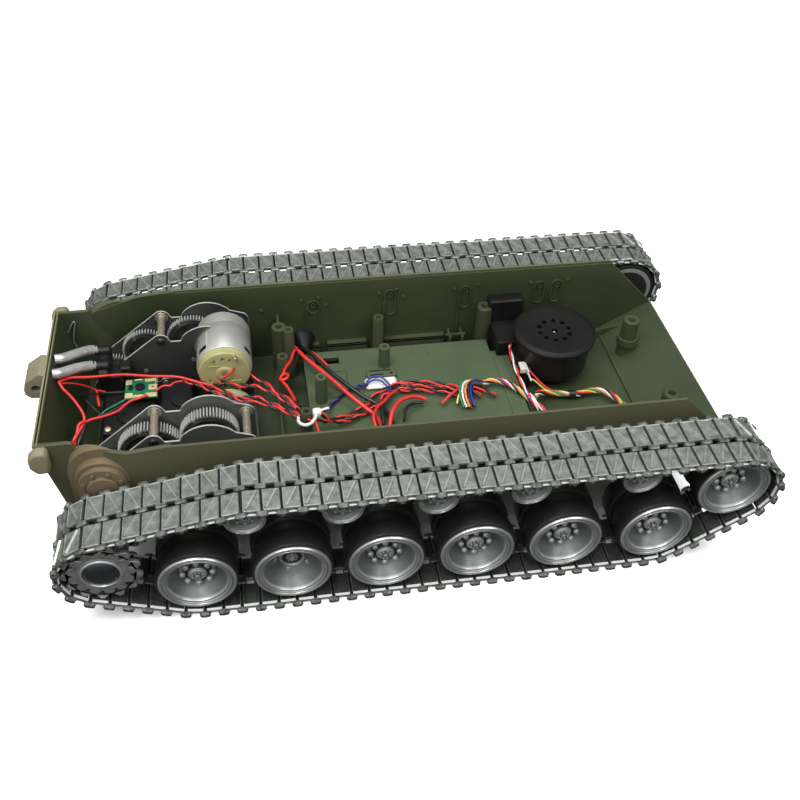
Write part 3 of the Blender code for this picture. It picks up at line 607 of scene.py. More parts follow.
def build_tracks():
    """Both tracks: the layers of one link, repeated round the belt's path."""
    pieces = belt_path()
    total = sum(belt_length(p) for p in pieces)
    links = round(total / LINK_PITCH)
    pitch = total / links
    # near-white strips along the pads' inner edges: a painted highlight for the glint they catch
    edge = Shape()
    for row in (-1, 1):
        edge.bar(row, (0.9, pitch - 0.9), (14.8, 16.2), (0.7, 1.4), 0.1)
    layers = [
        ("pads", "track", pad_shape(pitch)), ("ridges", "ridge", ridge_shape(pitch)),
        ("connectors", "connector", connector_shape()),
        ("undersides", "under", underside_shape(pitch)), ("shade_pins", "tyre", gap_shade_shape()), ("edges", "bright", edge),
    ]
    belts = [Shape() for _ in layers]
    spread = random.Random(7)
    points = [belt_point(pieces, i * pitch) for i in range(links)]
    for i, (x, z) in enumerate(points):
        nx, nz = points[(i + 1) % links]
        along = Vector((nx - x, 0, nz - z)).normalized()
        out = Vector((along.z, 0, -along.x))
        lift = spread.uniform(-0.05, 0.0)
        start = Vector((x, 0, z)) + out * lift
        across = out.cross(along)
        matrix = Matrix((
            (along.x, across.x, out.x, start.x),
            (along.y, across.y, out.y, start.y),
            (along.z, across.z, out.z, start.z),
            (0, 0, 0, 1),
        ))
        for belt, (_, _, one) in zip(belts, layers):
            belt.put(one, matrix)
    mid = (TRACK_IN_Y + TRACK_OUT_Y) / 2
    meshes = [belt.mesh("belt", 30) for belt in belts]
    for name, side in SIDES:
        for mesh, (word, look, _) in zip(meshes, layers):
            replaced = (f"{name}_track",) if word == "pads" else ()
            piece(f"{name}_track_{word}", mesh, look, "chassis", replaced, (0, side * mid, 0))


# ---- wheels -----------------------------------------------------------------------
RIM_R, DISH_DEPTH = 19.6, 11.0
HUB_SIZE, HUB_FRONT = 4.7, -4.4
TYRE_GAP = 0.55                    # between a tyre and the track under it
IDLER_RIM_R, IDLER_TYRE_R = 19.2, 20.3
LIP_OUT = 1.2                      # rim lip beyond the wheel's face line
ROLLER_R, ROLLER_WIDTH = 10.5, 18.0
TEETH = 13
ARM_REACH, PIVOT_Z = 16.0, 34.0


def rim_shape(rim_r):
    """Bright two-step lip round the dish, and the barrel behind it; face at y = 0."""
    back = -WHEEL_WIDTH
    r = rim_r
    profile = [
        (r * 0.775, -1.9), (r * 0.78, -1.3), (r * 0.79, -0.9), (r * 0.83, -0.75), (r * 0.85, -0.3),
        (r * 0.865, -0.25),
        (r * 0.875, -0.75), (r * 0.90, -0.8), (r * 0.915, -0.3), (r * 0.95, 0.0), (r * 0.98, -0.1), (r, -0.7),
        (r, -1.9), (r * 0.95, -2.2), (r * 0.95, back * 0.36), (r * 0.80, back * 0.40), (r * 0.80, back * 0.60),
        (r * 0.95, back * 0.64), (r * 0.95, back + 0.8), (r * 0.85, back + 0.3), (r * 0.785, back + 0.3),
    ]
    return Shape().lathe(profile, 72)


def dish_shape(rim_r, depth):
    """Deep dish: a cone from the lip down to the hub."""
    back = -WHEEL_WIDTH
    r = rim_r
    return Shape().lathe([
        (0, -depth), (r * 0.36, -depth), (r * 0.42, -depth + 0.5), (r * 0.60, -depth * 0.56), (r * 0.745, -2.3),
        (r * 0.785, -1.2), (r * 0.80, -1.3), (r * 0.80, back + 0.4), (2.6, back + 0.4), (2.6, -depth - 0.8),
        (0, -depth - 0.8),
    ], 64)


def fluted(shape, radius, deep, count, low, high):
    """Cylinder whose wall is cut by rounded flutes."""
    steps = count * 10
    outline = []
    for k in range(steps):
        turn = math.tau * k / steps
        reach = radius - deep * (0.5 - 0.5 * math.cos(count * turn)) ** 2
        outline.append((reach * math.cos(turn), reach * math.sin(turn)))
    shape.prism(outline, low, high)


def hub_shape(size, depth, front):
    """Hub with a ring of posts about it and a bolted cap, on the dish floor."""
    shape = Shape()
    fluted(shape, size * 2.05, size * 0.3, 8, -depth - 0.2, -depth + 1.6)
    for k in range(8):
        turn = math.tau * k / 8
        at = (size * 1.62 * math.cos(turn), 0, size * 1.62 * math.sin(turn))
        shape.cylinder(at, size * 0.33, -depth, -depth + 5.2, sides=20, chamfer=0.5)
        shape.cylinder(at, size * 0.15, -depth + 5.0, -depth + 5.7, sides=6)
    shape.cylinder((0, 0, 0), size * 1.0, -depth, front - 1.4, sides=40, chamfer=0.4)
    shape.lathe([(0, front + 0.4), (size * 0.20, front + 0.35), (size * 0.28, front), (size * 0.30, front - 0.6),
                 (size * 0.52, front - 0.6), (size * 0.78, front - 0.8), (size * 0.88, front - 1.2),
                 (size * 0.88, front - 1.8), (0, front - 1.8)], 32)
    for k in range(8):
        turn = math.tau * (k + 0.5) / 8
        at = (size * 0.58 * math.sin(turn), 0, size * 0.58 * math.cos(turn))
        shape.cylinder(at, size * 0.11, front - 0.9, front - 0.05, sides=8)
    return shape


def open_hub_shape(depth):
    """A hub that has lost its cap: a round wall on the dish floor, with bolts about it."""
    shape = Shape().lathe([
        (5.2, -depth - 0.1), (6.6, -depth - 0.1), (6.5, -depth + 1.2), (6.1, -depth + 1.7), (5.6, -depth + 1.5),
        (5.2, -depth + 0.9),
    ], 40)
    fluted(shape, 3.1, 0.7, 8, -depth - 0.1, -depth + 1.1)
    shape.cylinder((0, 0, 0), 1.2, -depth, -depth + 2.0, sides=6)
    for k in range(5):
        turn = math.tau * (k + 0.3) / 5
        at = (9.3 * math.sin(turn), 0, 9.3 * math.cos(turn))
        shape.cylinder(at, 1.5, -depth - 0.2, -depth + 1.2, sides=20, chamfer=0.3)
        shape.cylinder(at, 0.8, -depth + 1.0, -depth + 2.0, sides=6)
    return shape


def tyre_shape(rim_r, tyre_r):
    """Two rubber tyres with rounded shoulders, leaving the horn groove between them."""
    shape = Shape()
    back = -WHEEL_WIDTH
    for y0, y1 in ((-1.3, -TYRE_WIDTH), (back + TYRE_WIDTH, back + 0.6)):
        inner = rim_r * 0.93
        edge = 1.1
        shape.lathe([
            (inner, y0), (tyre_r - edge, y0), (tyre_r - 0.3, y0 - 0.4), (tyre_r, y0 - edge), (tyre_r, y1 + edge),
            (tyre_r - 0.3, y1 + 0.4), (tyre_r - edge, y1), (inner, y1),
        ], 64)
    # black sleeve over the barrel between them: painted shade in the groove
    shape.lathe([(rim_r * 0.9, 0.4 - TYRE_WIDTH), (rim_r * 0.97, 0.4 - TYRE_WIDTH),
                 (rim_r * 0.97, back + TYRE_WIDTH - 0.4), (rim_r * 0.9, back + TYRE_WIDTH - 0.4)], 64)
    # dark back of the wheel, with two raised rings
    shape.lathe([
        (3.0, back + 0.42), (3.0, back + 0.1), (8.0, back + 0.1), (8.6, back - 0.1), (9.2, back + 0.1),
        (rim_r * 0.6, back + 0.1), (rim_r * 0.65, back - 0.1), (rim_r * 0.7, back + 0.1),
        (rim_r * 0.79, back + 0.1),
        (rim_r * 0.79, back + 0.42),
    ], 48)
    return shape


def build_wheels():
    """Road wheels and idlers: rim, hub in its dish, tyres and a black core as painted shade behind the hub's posts.
    """
    rim = rim_shape(RIM_R).mesh("rim", 30)
    dish = dish_shape(RIM_R, DISH_DEPTH)
    hub = hub_shape(HUB_SIZE, DISH_DEPTH, HUB_FRONT).put(dish).mesh("hub", 30)
    bare = open_hub_shape(DISH_DEPTH).put(dish).mesh("bare_hub", 30)
    well = Shape().lathe([(3.2, -10.95), (5.2, -10.95), (5.2, -10.7), (3.2, -10.7)], 32).mesh("well", 30)
    # black disc inside the ring of hub posts: painted shade in the openings between them
    core = Shape().cylinder((0, 0, 0), 7.2, -9.6, -7.2, sides=40, chamfer=0.3).mesh("core", 30)
    tyres = tyre_shape(RIM_R, WHEEL_Z - TRACK_T - TYRE_GAP).mesh("tyres", 30)
    idler_tyres = tyre_shape(IDLER_RIM_R, IDLER_TYRE_R).mesh("idler_tyres", 30)
    for name, side in SIDES:
        turn = side < 0
        wheels = [(f"{name}_road_wheel_{n}", WHEEL_FACE_Y, tyres) for n in range(1, WHEEL_COUNT + 1)]
        wheels.append((f"{name}_idler", IDLER_FACE_Y, idler_tyres))
        for node, face, rubber in wheels:
            spot = middle(node)
            at = (spot.x, side * (face + LIP_OUT), spot.z)
            centre = hub if node != "right_road_wheel_2" else bare
            piece(f"{node}_rim", rim, "rim", node, (node,), at, turn)
            piece(f"{node}_hub", centre, "dish", node, (), at, turn)
            piece(f"{node}_tyres", rubber, "tyre", node, (), at, turn)
            piece(f"{node}_well", well if centre is bare else core, "tyre", node, (), at, turn)


def build_rollers():
    """Return rollers: a small twin wheel with bolts round its hub."""
    width, r = ROLLER_WIDTH, ROLLER_R
    rim = Shape().lathe([
        (r * 0.76, -2.4), (r * 0.78, -0.9), (r * 0.83, -0.5), (r * 0.86, -0.2), (r * 0.89, -0.2), (r * 0.905, -0.5),
        (r * 0.93, -0.1), (r * 0.98, 0), (r, -0.4), (r, -1.2), (r * 0.93, -1.5), (r * 0.93, -width * 0.38),
        (6.1, -width * 0.40), (6.1, -width * 0.60), (r * 0.93, -width * 0.62), (r * 0.93, -width + 0.4),
        (r * 0.70, -width + 0.3),
    ], 56).mesh("roller_rim", 30)
    hub = Shape().lathe([
        (0, -3.4), (r * 0.44, -3.4), (r * 0.66, -2.8), (r * 0.77, -1.4), (r * 0.79, -1.3),
        (r * 0.79, -width * 0.38),
        (5.6, -width * 0.42), (5.6, -width * 0.58), (r * 0.79, -width * 0.62), (r * 0.79, -width + 0.5),
        (2.4, -width + 0.4), (2.4, -4.6), (0, -4.6),
    ], 48)
    hub.lathe([(0, -0.3), (1.1, -0.35), (1.4, -0.9), (2.9, -1.1), (3.3, -1.6), (3.3, -3.6), (0, -3.6)], 24)
    for k in range(8):
        turn = math.tau * k / 8
        hub.cylinder((2.2 * math.sin(turn), 0, 2.2 * math.cos(turn)), 0.38, -1.2, -0.6, sides=8)
        hub.cylinder((5.0 * math.sin(turn), 0, 5.0 * math.cos(turn)), 0.75, -3.5, -2.2, sides=8)
    hub = hub.mesh("roller_hub", 30)
    tyres = Shape()
    for y0, y1 in ((-1.0, -width * 0.38), (-width * 0.62, -width + 0.3)):
        tyres.lathe([(9.2, y0), (10.2, y0), (10.6, y0 - 0.5), (10.6, y1 + 0.5), (10.2, y1), (9.2, y1)], 48)
    tyres = tyres.mesh("roller_tyres", 30)
    for name, side in SIDES:
        for n in range(1, ROLLER_COUNT + 1):
            node = f"{name}_return_roller_{n}"
            spot = middle(node)
            at = (spot.x, side * ROLLER_FACE_Y, spot.z)
            piece(f"{node}_rim", rim, "rim", node, (node,), at, side < 0)
            piece(f"{node}_hub", hub, "dish", node, (), at, side < 0)
            piece(f"{node}_tyres", tyres, "tyre", node, (), at, side < 0)


def toothed_ring(y0, y1):
    """Sprocket plate: blunt teeth and a triangular window inside each."""
    outline = []
    for k in range(TEETH):
        for part, radius in ((-0.28, 18.0), (-0.11, 19.8), (0.11, 19.8), (0.28, 18.0), (0.42, 16.2), (0.58, 16.2)):
            turn = math.tau * (k + part) / TEETH
            outline.append((radius * math.cos(turn), radius * math.sin(turn)))
    base = Shape().prism(outline, y0, y1)
    windows = Shape()
    for k in range(TEETH):
        window = []
        for part, radius in ((-0.30, 16.6), (0.30, 16.6), (0.0, 13.0)):
            turn = math.tau * (k + part) / TEETH
            window.append((radius * math.cos(turn), radius * math.sin(turn)))
        windows.prism(window, y0 - 1, y1 + 1)
    return boolean(base, [windows])


def build_sprockets():
    """Two toothed rings on a drum, with a domed cap in a bright lip."""
    outer = toothed_ring(-2.2, 0.0)
    inner = toothed_ring(-29.0, -26.0)
    drum = Shape().lathe([
        (9.6, 0.0), (10.4, 0.25), (11.4, 0.0), (12.4, -0.9), (12.4, -28.0), (6.0, -28.4), (6.0, -31.0),
        (2.5, -31.0), (2.5, -12.0), (9.6, -12.0),
    ], 48).mesh("drum", 30)
    cap = Shape().lathe([
        (0, 2.0), (4.0, 1.8), (7.0, 1.15), (8.7, 0.35), (9.2, -0.3), (9.2, -11.0), (0, -11.0),
    ], 48).mesh("cap", 30)
    lip = Shape().lathe([(8.8, 0.2), (9.2, 0.7), (9.9, 0.55), (10.2, -0.1), (9.8, -0.6),
                         (8.8, -0.6)], 48).mesh("lip", 60)
    for name, side in SIDES:
        node = f"{name}_sprocket"
        at = (SPROCKET_X, side * (WHEEL_FACE_Y + 0.2), SPROCKET_Z)
        turn = side < 0
        piece(f"{node}_outer_ring", outer, "sprocket", node, (node,), at, turn, 0.25)
        piece(f"{node}_inner_ring", inner, "sprocket", node, (), at, turn, 0.25)
        piece(f"{node}_drum", drum, "sprocket", node, (), at, turn)
        piece(f"{node}_hub_cap", cap, "cap", node, (), at, turn)
        piece(f"{node}_cap_lip", lip, "rim", node, (), at, turn)


def build_arms():
    """Swing arms with a ribbed web, a pivot boss and the axle."""
    for name, side in SIDES:
        arm = Shape()
        arm.prism(capsule(0, 0, 5.0, -ARM_REACH, WHEEL_Z - PIVOT_Z, 4.0), *span(side, 66.7, 70.2))
        arm.cylinder((0, 0, 0), 3.9, *span(side, 66.5, 70.5), sides=24, chamfer=0.3)
        arm.cylinder((-ARM_REACH, 0, WHEEL_Z - PIVOT_Z), 3.2, *span(side, 69.0, 72.8), sides=24, chamfer=0.3)
        arm.cylinder((-ARM_REACH, 0, WHEEL_Z - PIVOT_Z), 1.95, *span(side, 70.0, 93.0), sides=16)
        mesh = arm.mesh("arm", 35)
        for n in range(1, WHEEL_COUNT + 1):
            node = f"{name}_arm_{n}"
            x = middle(f"{name}_road_wheel_{n}").x + ARM_REACH
            piece(f"{node}_lever", mesh, "arm", node, (node,), (x, 0, PIVOT_Z))


# ---- hull -------------------------------------------------------------------------
HULL_HALF = 65.0
WALL = 2.4
BOTTOM_Z, FLOOR_Z = 27.0, 29.5
RAIL_Z = 84.3
NOSE = (X1 + 296.5, 49.0)
RAIL_FRONT_X = X1 + 262.0
REAR_X, REAR_Z = X1 - 73.2, 82.2
REAR_HALF = 54.5
DRIVE_STEPS = (                    # each step's top behind X1, radius, z, foot radius and y
    (42.0, 16.5, 66.5, 14.3, 60.8), (41.8, 13.6, 63.8, 12.9, 65.4), (41.5, 12.0, 63.5, 11.6, 68.6),
)
BOSSES = (                         # station from X1, y, radius and top of each screw post
    (53.0, 46.0, 4.4, 66.0), (58.5, 42.5, 3.2, 66.0), (53.5, 24.5, 3.3, 61.0), (63.0, -23.5, 3.3, 61.0),
    (271.0, 34.0, 5.0, 60.0), (271.0, -34.0, 5.0, 60.0), (182.5, 57.5, 5.0, 61.0), (114.5, 55.5, 3.3, 60.0),
    (77.0, -47.0, 3.4, 44.0), (120.0, -42.0, 3.2, 44.0), (246.0, 48.0, 3.0, 40.0),
)
DECK_BOSSES = ((115.0, 33.0, 3.3, 55.0), (74.0, 6.0, 3.3, 59.0))


def boss(shape, x, y, radius, low, top):
    """Moulded screw post, slightly tapered, with a blind hole in its top."""
    shape.lathe([
        (0, low), (radius * 1.08, low), (radius, top - 0.5), (radius * 0.9, top), (radius * 0.52, top),
        (radius * 0.44, top - 0.5), (radius * 0.42, top - 4.0), (0, top - 4.0),
    ], 28, (x, y, 0), "Z")


def narrowed(solid, inset):
    """The solid with both rear corners cut away along the tapered side walls."""
    rear, front = TAPER
    wedges = Shape()
    for side in (1, -1):
        wedges.plate([
            (rear - 40.0, side * (REAR_HALF - inset)), (rear - 0.2 * inset, side * (REAR_HALF - inset)),
            (front, side * (HULL_HALF - inset)), (front, side * 80.0), (rear - 40.0, side * 80.0),
        ], 0.0, 120.0)
    return boolean(solid, [wedges])


def hull_room(inset):
    """The open inside of the tub, as a solid that is inset from its outer walls."""
    x = X1
    room = [
        (x - 54.6, FLOOR_Z), (x + 260.7, FLOOR_Z), (NOSE[0] + 8.0, 56.3), (NOSE[0] + 8.0, RAIL_Z + 10),
        (REAR_X + 2.0, RAIL_Z + 10), (REAR_X + 2.8, REAR_Z), (x - 61.4, 35.0),
    ]
    return narrowed(Shape().prism(room, inset - HULL_HALF, HULL_HALF - inset), inset)


def build_hull():
    """Tub with its posts, ribs, pads, rear fittings and outer fittings."""
    x = X1
    outline = [
        (x - 56.0, BOTTOM_Z), (x + 262.0, BOTTOM_Z), NOSE, (RAIL_FRONT_X, RAIL_Z), (x - 8.0, RAIL_Z),
        (x - 28.0, 82.0), (x - 51.5, 80.3), (x - 53.0, 79.2), (x - 54.4, REAR_Z), (REAR_X, REAR_Z),
        (x - 64.0, 34.0),
    ]
    shell = narrowed(Shape().prism(outline, -HULL_HALF, HULL_HALF), 0.0)
    inside = HULL_HALF - WALL
    cuts = [hull_room(WALL)]
    step = Shape()
    for _, side in SIDES:
        rail = [(x - 6.0, RAIL_Z - 1.3), (x + 400.0, RAIL_Z - 1.3), (x + 400.0, RAIL_Z + 3), (x - 6.0, RAIL_Z + 3)]
        step.prism(rail, *span(side, inside - 0.2, inside + 0.9))
    # groove along the top of the rear plate
    step.box((x - 72.2, -51.8, REAR_Z - 1.2), (x - 71.5, 51.8, REAR_Z + 1.0))
    cuts.append(step)
    bores = Shape()
    for _, side in SIDES:
        bores.cylinder((SPROCKET_X, 0, SPROCKET_Z), 3.2, *span(side, 50, 75))
    cuts.append(bores)
    piece("hull_shell", boolean(shell, cuts), "hull", "chassis", ("hull_tub",), bevel=0.35)

    posts = Shape()
    for bx, by, radius, top in BOSSES:
        boss(posts, x + bx, by, radius, FLOOR_Z - 1, top)
    piece("hull_posts", posts.mesh("posts", 40), "mould", "chassis")

    trim = Shape()
    # collars round the front posts, webs behind the wall posts
    for by in (34.0, -34.0):
        trim.lathe([(5.4, 42.0), (6.6, 42.0), (6.4, 46.5), (5.4, 46.8)], 32, (x + 271.0, by, 0), "Z")
    for start, end, y0, y1, top in ((181.7, 183.3, 59.0, 63.0, 58.0), (113.9, 115.1, 57.0, 63.0, 57.0),
                                    (52.3, 53.7, 48.0, 63.0, 62.0), (52.8, 54.2, 26.0, 44.0, 44.0)):
        trim.box((x + start, y0, FLOOR_Z), (x + end, y1, top))
    # ledge along the foot of the far wall, in lengths with openings between
    for start, end in ((64.0, 78.0), (83.0, 108.0), (119.0, 158.0)):
        trim.box((x + start, 57.4, FLOOR_Z), (x + end, 59.0, 38.5), 0.2)
        trim.box((x + start, 57.4, 37.0), (x + end, 63.0, 38.5), 0.2)
    for start in (160.0, 168.0):
        trim.box((x + start, 53.0, FLOOR_Z), (x + start + 1.6, 63.0, 41.0), 0.2)
    trim.box((x + 158.0, 55.5, 40.0), (x + 171.0, 57.0, 41.6), 0.2)
    # ribs on the floor: between the bays, across the nose, along the near wall
    for start, end, y0, top in ((49.0, 50.6, -62.7, 35.0), (197.0, 198.4, -62.7, 33.0), (261.5, 262.7, -62.7, 31.5),
                                (230.0, 231.4, 27.0, 36.0)):
        trim.box((x + start, y0, FLOOR_Z), (x + end, 62.7, top), 0.2)
    for y in (-57.0, 57.0):
        trim.box((x + 205.0, y - 0.7, FLOOR_Z), (x + 259.0, y + 0.7, 32.5), 0.2)
    # gussets between the nose plate and the side walls
    for _, side in SIDES:
        gusset = [(x + 246.0, FLOOR_Z), (x + 261.0, FLOOR_Z), (x + 276.0, 38.5), (x + 262.0, 36.0)]
        trim.prism(gusset, *span(side, 55.0, 56.4))
    piece("hull_ribs", trim.mesh("ribs", 30), "mould", "chassis")

    # pads and screw bumps on the inner walls
    pads = Shape()
    for _, side in SIDES:
        low, high = span(side, inside - 1.1, inside)
        for px, pz, tall in ((75.2, 66.0, 1.5), (122.7, 65.5, 6.0), (170.1, 65.5, 5.0), (218.0, 65.0, 5.0),
                             (229.0, 65.0, 5.0)):
            loop = capsule(x + px, pz + tall, 3.6, x + px, pz - tall, 3.5, 10)
            inner = capsule(x + px, pz + tall, 2.9, x + px, pz - tall, 2.8, 10)
            count = len(loop)
            points = [(a, h, b) for h in (low, high) for a, b in loop + inner]
            faces = []
            for i in range(count):
                j = (i + 1) % count
                faces += [[i, j, j + 2 * count, i + 2 * count],
                          [count + i, count + j, j + 3 * count, i + 3 * count],
                          [i, j, count + j, count + i],
                          [2 * count + i, 2 * count + j, 3 * count + j, 3 * count + i]]
            pads.add(points, faces)
            pads.lathe([(1.0, low), (1.8, low), (1.7, high), (1.0, high)], 16, (x + px, 0, pz + tall))
        for px, pz in ((68.0, 71.5), (78.5, 73.0), (83.0, 67.0), (115.8, 72.5), (126.5, 75.0), (131.0, 69.0),
                       (163.0, 72.0), (178.0, 74.0), (212.0, 72.5), (236.0, 73.0), (24.0, 70.0), (43.5, 66.0)):
            pads.lathe([(0, side * (inside + 0.2)), (1.1, side * (inside + 0.2)), (1.0, side * (inside - 0.9)),
                        (0, side * (inside - 1.1))], 14, (x + px, 0, pz))
        for px in (75.2, 122.7, 170.1):
            pads.bar(side, (x + px - 4.4, x + px - 3.6), (inside - 1.2, inside + 0.2), (38.0, 66.0), 0.15)
    piece("hull_pads", pads.mesh("pads", 30), "mould", "chassis")

    bracket = [
        (x - 70.5, 67.2), (x - 72.2, 82.8), (x - 75.5, 83.8), (x - 83.6, 78.2), (x - 84.8, 74.0), (x - 84.8, 70.6),
        (x - 82.0, 67.7),
    ]
    tail = Shape().prism(bracket, -2.3, 14.8)
    eye = Shape().cylinder((x - 78.6, 0, 74.2), 2.3, -3.0, 16.0, sides=28)
    eye.box((x - 80.5, 3.0, 60.0), (x - 74.0, 9.5, 72.0))
    piece("tow_bracket", boolean(tail, [eye]), "tan", "chassis", bevel=0.9)
    lamps = Shape()
    for side in (-1, 1):
        lamps.prism([(x - 66.2, 68.0), (x - 65.6, 81.0), (x - 67.2, 82.2), (x - 72.0, 82.2), (x - 75.6, 78.8),
                     (x - 76.0, 72.0), (x - 72.5, 67.4)], *span(side, REAR_HALF - 0.6, 60.0))
    piece("rear_lamp_blocks", lamps.mesh("lamps", 30), "tan", "chassis", bevel=1.6)
    strip = Shape().box((x - 73.25, -53.8, REAR_Z - 0.3), (x - 72.3, 53.8, REAR_Z + 0.12), 0.1)
    strip.box((x - 71.4, -53.8, REAR_Z - 0.3), (x - 70.9, 53.8, REAR_Z + 0.12), 0.1)
    strip.prism([(x + 295.0, 49.5), (x + 296.3, 49.2), (x + 296.2, 49.9), (x + 295.3, 50.5)], -64.8, 64.8)
    piece("end_rims", strip.mesh("rear_rim", 30), "tan", "chassis")

    foot_z = SPROCKET_Z + 2.0
    housing = Shape()
    bolts = Shape()
    for name, side in SIDES:
        drive = Shape()
        for back, radius, z, foot_r, out in DRIVE_STEPS:
            loop = capsule(x - back, z, radius, SPROCKET_X, foot_z, foot_r, 20)
            drive.prism(loop, *span(side, REAR_HALF - 1.0, out))
        low, high = span(side, 66.0, 70.1)
        drive.cylinder((x - 41.5, 0, 63.5), 7.6, low, high, sides=40, chamfer=0.5)
        drive.cylinder((SPROCKET_X, 0, SPROCKET_Z), 7.0, low, high, sides=40, chamfer=0.5)
        for k in range(8):
            turn = math.tau * (k + 0.5) / 8
            bolts.cylinder((x - 41.5 + 9.8 * math.cos(turn), 0, 63.5 + 9.8 * math.sin(turn)), 1.1,
                           *span(side, 68.0, 69.8), sides=6)
        drive = boolean(drive, [hull_room(WALL - 0.3), bores])
        piece(f"{name}_drive_housing", drive, "brown" if side < 0 else "hull", "chassis", bevel=0.5)
    for _, side in SIDES:
        for n in range(1, ROLLER_COUNT + 1):
            rx = middle(f"left_return_roller_{n}").x
            for radius, out, chamfer in ((4.3, ROLLER_FACE_Y - 18.6, 0.4), (7.2, 66.6, 0.4),
                                         (1.95, ROLLER_FACE_Y - 4.8, 0.0)):
                housing.cylinder((rx, 0, ROLLER_Z), radius, *span(side, HULL_HALF - 1.0, out), chamfer=chamfer)
        ix, iz = IDLER.x, TRACK_TOP_Z - TRACK_T - IDLER_BELT_R
        housing.prism(capsule(ix - 8.0, iz - 3.0, 5.9, ix, iz, 4.5, 12), *span(side, HULL_HALF - 1.0, 70.4))
        housing.cylinder((ix, 0, iz), 1.95, *span(side, HULL_HALF - 1.0, IDLER_FACE_Y - 9.0))
        for n in range(1, WHEEL_COUNT + 1):
            px = middle(f"left_road_wheel_{n}").x + ARM_REACH
            housing.cylinder((px, 0, PIVOT_Z), 6.6, *span(side, HULL_HALF - 1.0, 66.2), chamfer=0.4)
            housing.bar(side, (px - ARM_REACH, px + 4.0), (HULL_HALF - 1.0, 66.0), (40.0, 52.0), 0.6)
    piece("hull_outer_fittings", housing.mesh("outer_fittings", 30), "arm", "chassis")
    piece("housing_bolts", bolts.mesh("housing_bolts", 30), "hull", "chassis")


def build_deck():
    """Battery cover with its bosses, clips and plug port."""
    x = X1
    deck = Shape().box((x + 66.5, -50.0, 29.8), (x + 193.5, 50.0, 40.0))
    cuts = Shape().box((x + 68.3, -48.2, 20.0), (x + 191.7, 48.2, 38.2))
    cuts.box((x + 73.8, 38.2, 36.0), (x + 88.0, 43.0, 44.0))
    cuts.box((x + 183.0, 38.0, 26.0), (x + 196.0, 54.0, 44.0))
    cuts.lathe([(5.0, 39.7), (5.5, 39.7), (5.5, 41.0), (5.0, 41.0)], 40, (x + 138.5, 42.0, 0), "Z")
    cuts.box((x + 69.5, 30.5, 39.4), (x + 91.0, 31.0, 41.0))
    cuts.box((x + 91.0, 6.0, 39.4), (x + 91.5, 31.0, 41.0))
    piece("cover_plate", boolean(deck, [cuts]), "deck", "chassis", ("battery_cover",), bevel=0.45)
    extras = Shape()
    for bx, by, radius, top in DECK_BOSSES:
        boss(extras, x + bx, by, radius, 39.0, top)
    extras.box((x + 73.0, 43.0, 39.0), (x + 89.0, 44.2, 40.9), 0.2)
    extras.box((x + 88.0, 37.5, 39.0), (x + 89.2, 44.0, 40.9), 0.2)
    extras.box((x + 103.0, 19.5, 39.0), (x + 120.5, 26.0, 43.4), 0.4)
    extras.box((x + 183.4, -44.0, 39.0), (x + 190.0, 32.0, 40.5), 0.2)
    piece("cover_details", extras.mesh("cover_details", 30), "deck", "chassis")
    slots = Shape()
    slots.box((x + 104.5, 20.4, 43.0), (x + 113.0, 21.4, 43.5))
    slots.box((x + 104.5, 24.0, 43.0), (x + 117.5, 25.0, 43.5))
    slots.cylinder((x + 117.6, 21.6, 0), 0.9, 43.0, 43.5, "Z", 12)
    slots.box((x + 103.0, 19.2, 40.8), (x + 119.0, 19.6, 42.4))
    piece("cover_port_slots", slots.mesh("port_slots", 30), "black", "chassis")


# ---- gearboxes --------------------------------------------------------------------
GEAR_MODULE = 15.0 * 2 / 28
GEARS = {
    "left": ((X1 + 2.7, 60.5), (X1 + 20.5, 68.0), 25),
    "right": ((X1 + 11.0, 62.0), (X1 + 21.0, 45.5), 32),
}
BIG_TEETH, FINAL_TEETH, PINION_TEETH = 28, 19, 8
PLATE_OUT_Y, PLATE_IN_Y, PLATE_T = 51.2, 29.0, 1.2
FINE = 2                           # visible teeth per working tooth


def pitch_radius(teeth):
    return GEAR_MODULE * teeth / 2


def gear_train(name):
    """Centres and teeth of the final, middle and big gear and of the pinion."""
    big, motor, teeth = GEARS[name]
    final = (SPROCKET_X, SPROCKET_Z)
    reach_a = pitch_radius(BIG_TEETH) + pitch_radius(teeth)
    reach_b = pitch_radius(FINAL_TEETH) + pitch_radius(teeth)
    dx, dz = final[0] - big[0], final[1] - big[1]
    apart = math.hypot(dx, dz)
    along = (reach_a ** 2 - reach_b ** 2 + apart ** 2) / (2 * apart)
    off = math.sqrt(max(reach_a ** 2 - along ** 2, 0.0))
    sign = 1 if dx < 0 else -1
    mid = (big[0] + along * dx / apart + sign * off * dz / apart,
           big[1] + along * dz / apart - sign * off * dx / apart)
    line = math.atan2(motor[1] - big[1], motor[0] - big[0])
    reach = pitch_radius(BIG_TEETH) + pitch_radius(PINION_TEETH)
    pinion = (big[0] + reach * math.cos(line), big[1] + reach * math.sin(line))
    return {"final": (final, FINAL_TEETH), "middle": (mid, teeth), "big": (big, BIG_TEETH),
            "pinion": (pinion, PINION_TEETH)}


def gear_solid(teeth, y0, y1, bore, web=True):
    """Fine-toothed spur gear about the origin with a recessed web and a hub."""
    pitch_r = pitch_radius(teeth)
    count = teeth * FINE if teeth > 10 else teeth
    tip, root = pitch_r + 0.5, pitch_r - 1.0
    outline = []
    for k in range(count):
        for part, radius in ((-0.34, root), (-0.13, tip), (0.13, tip), (0.34, root)):
            turn = math.tau * (k + part) / count
            outline.append((radius * math.cos(turn), radius * math.sin(turn)))
    gear = Shape().prism(outline, y0, y1)
    if not web:
        return gear.mesh("gear", 25)
    groove = Shape()
    depth = (y1 - y0) * 0.28
    rings = ((y0 - 1, y0 + depth), (y1 - depth, y1 + 1))
    for low, high in rings:
        groove.lathe([(bore + 2.6, low), (root - 2.2, low), (root - 2.2, high), (bore + 2.6, high)], 48)
    groove.cylinder((0, 0, 0), bore, y0 - 1, y1 + 1)
    return boolean(gear, [groove])


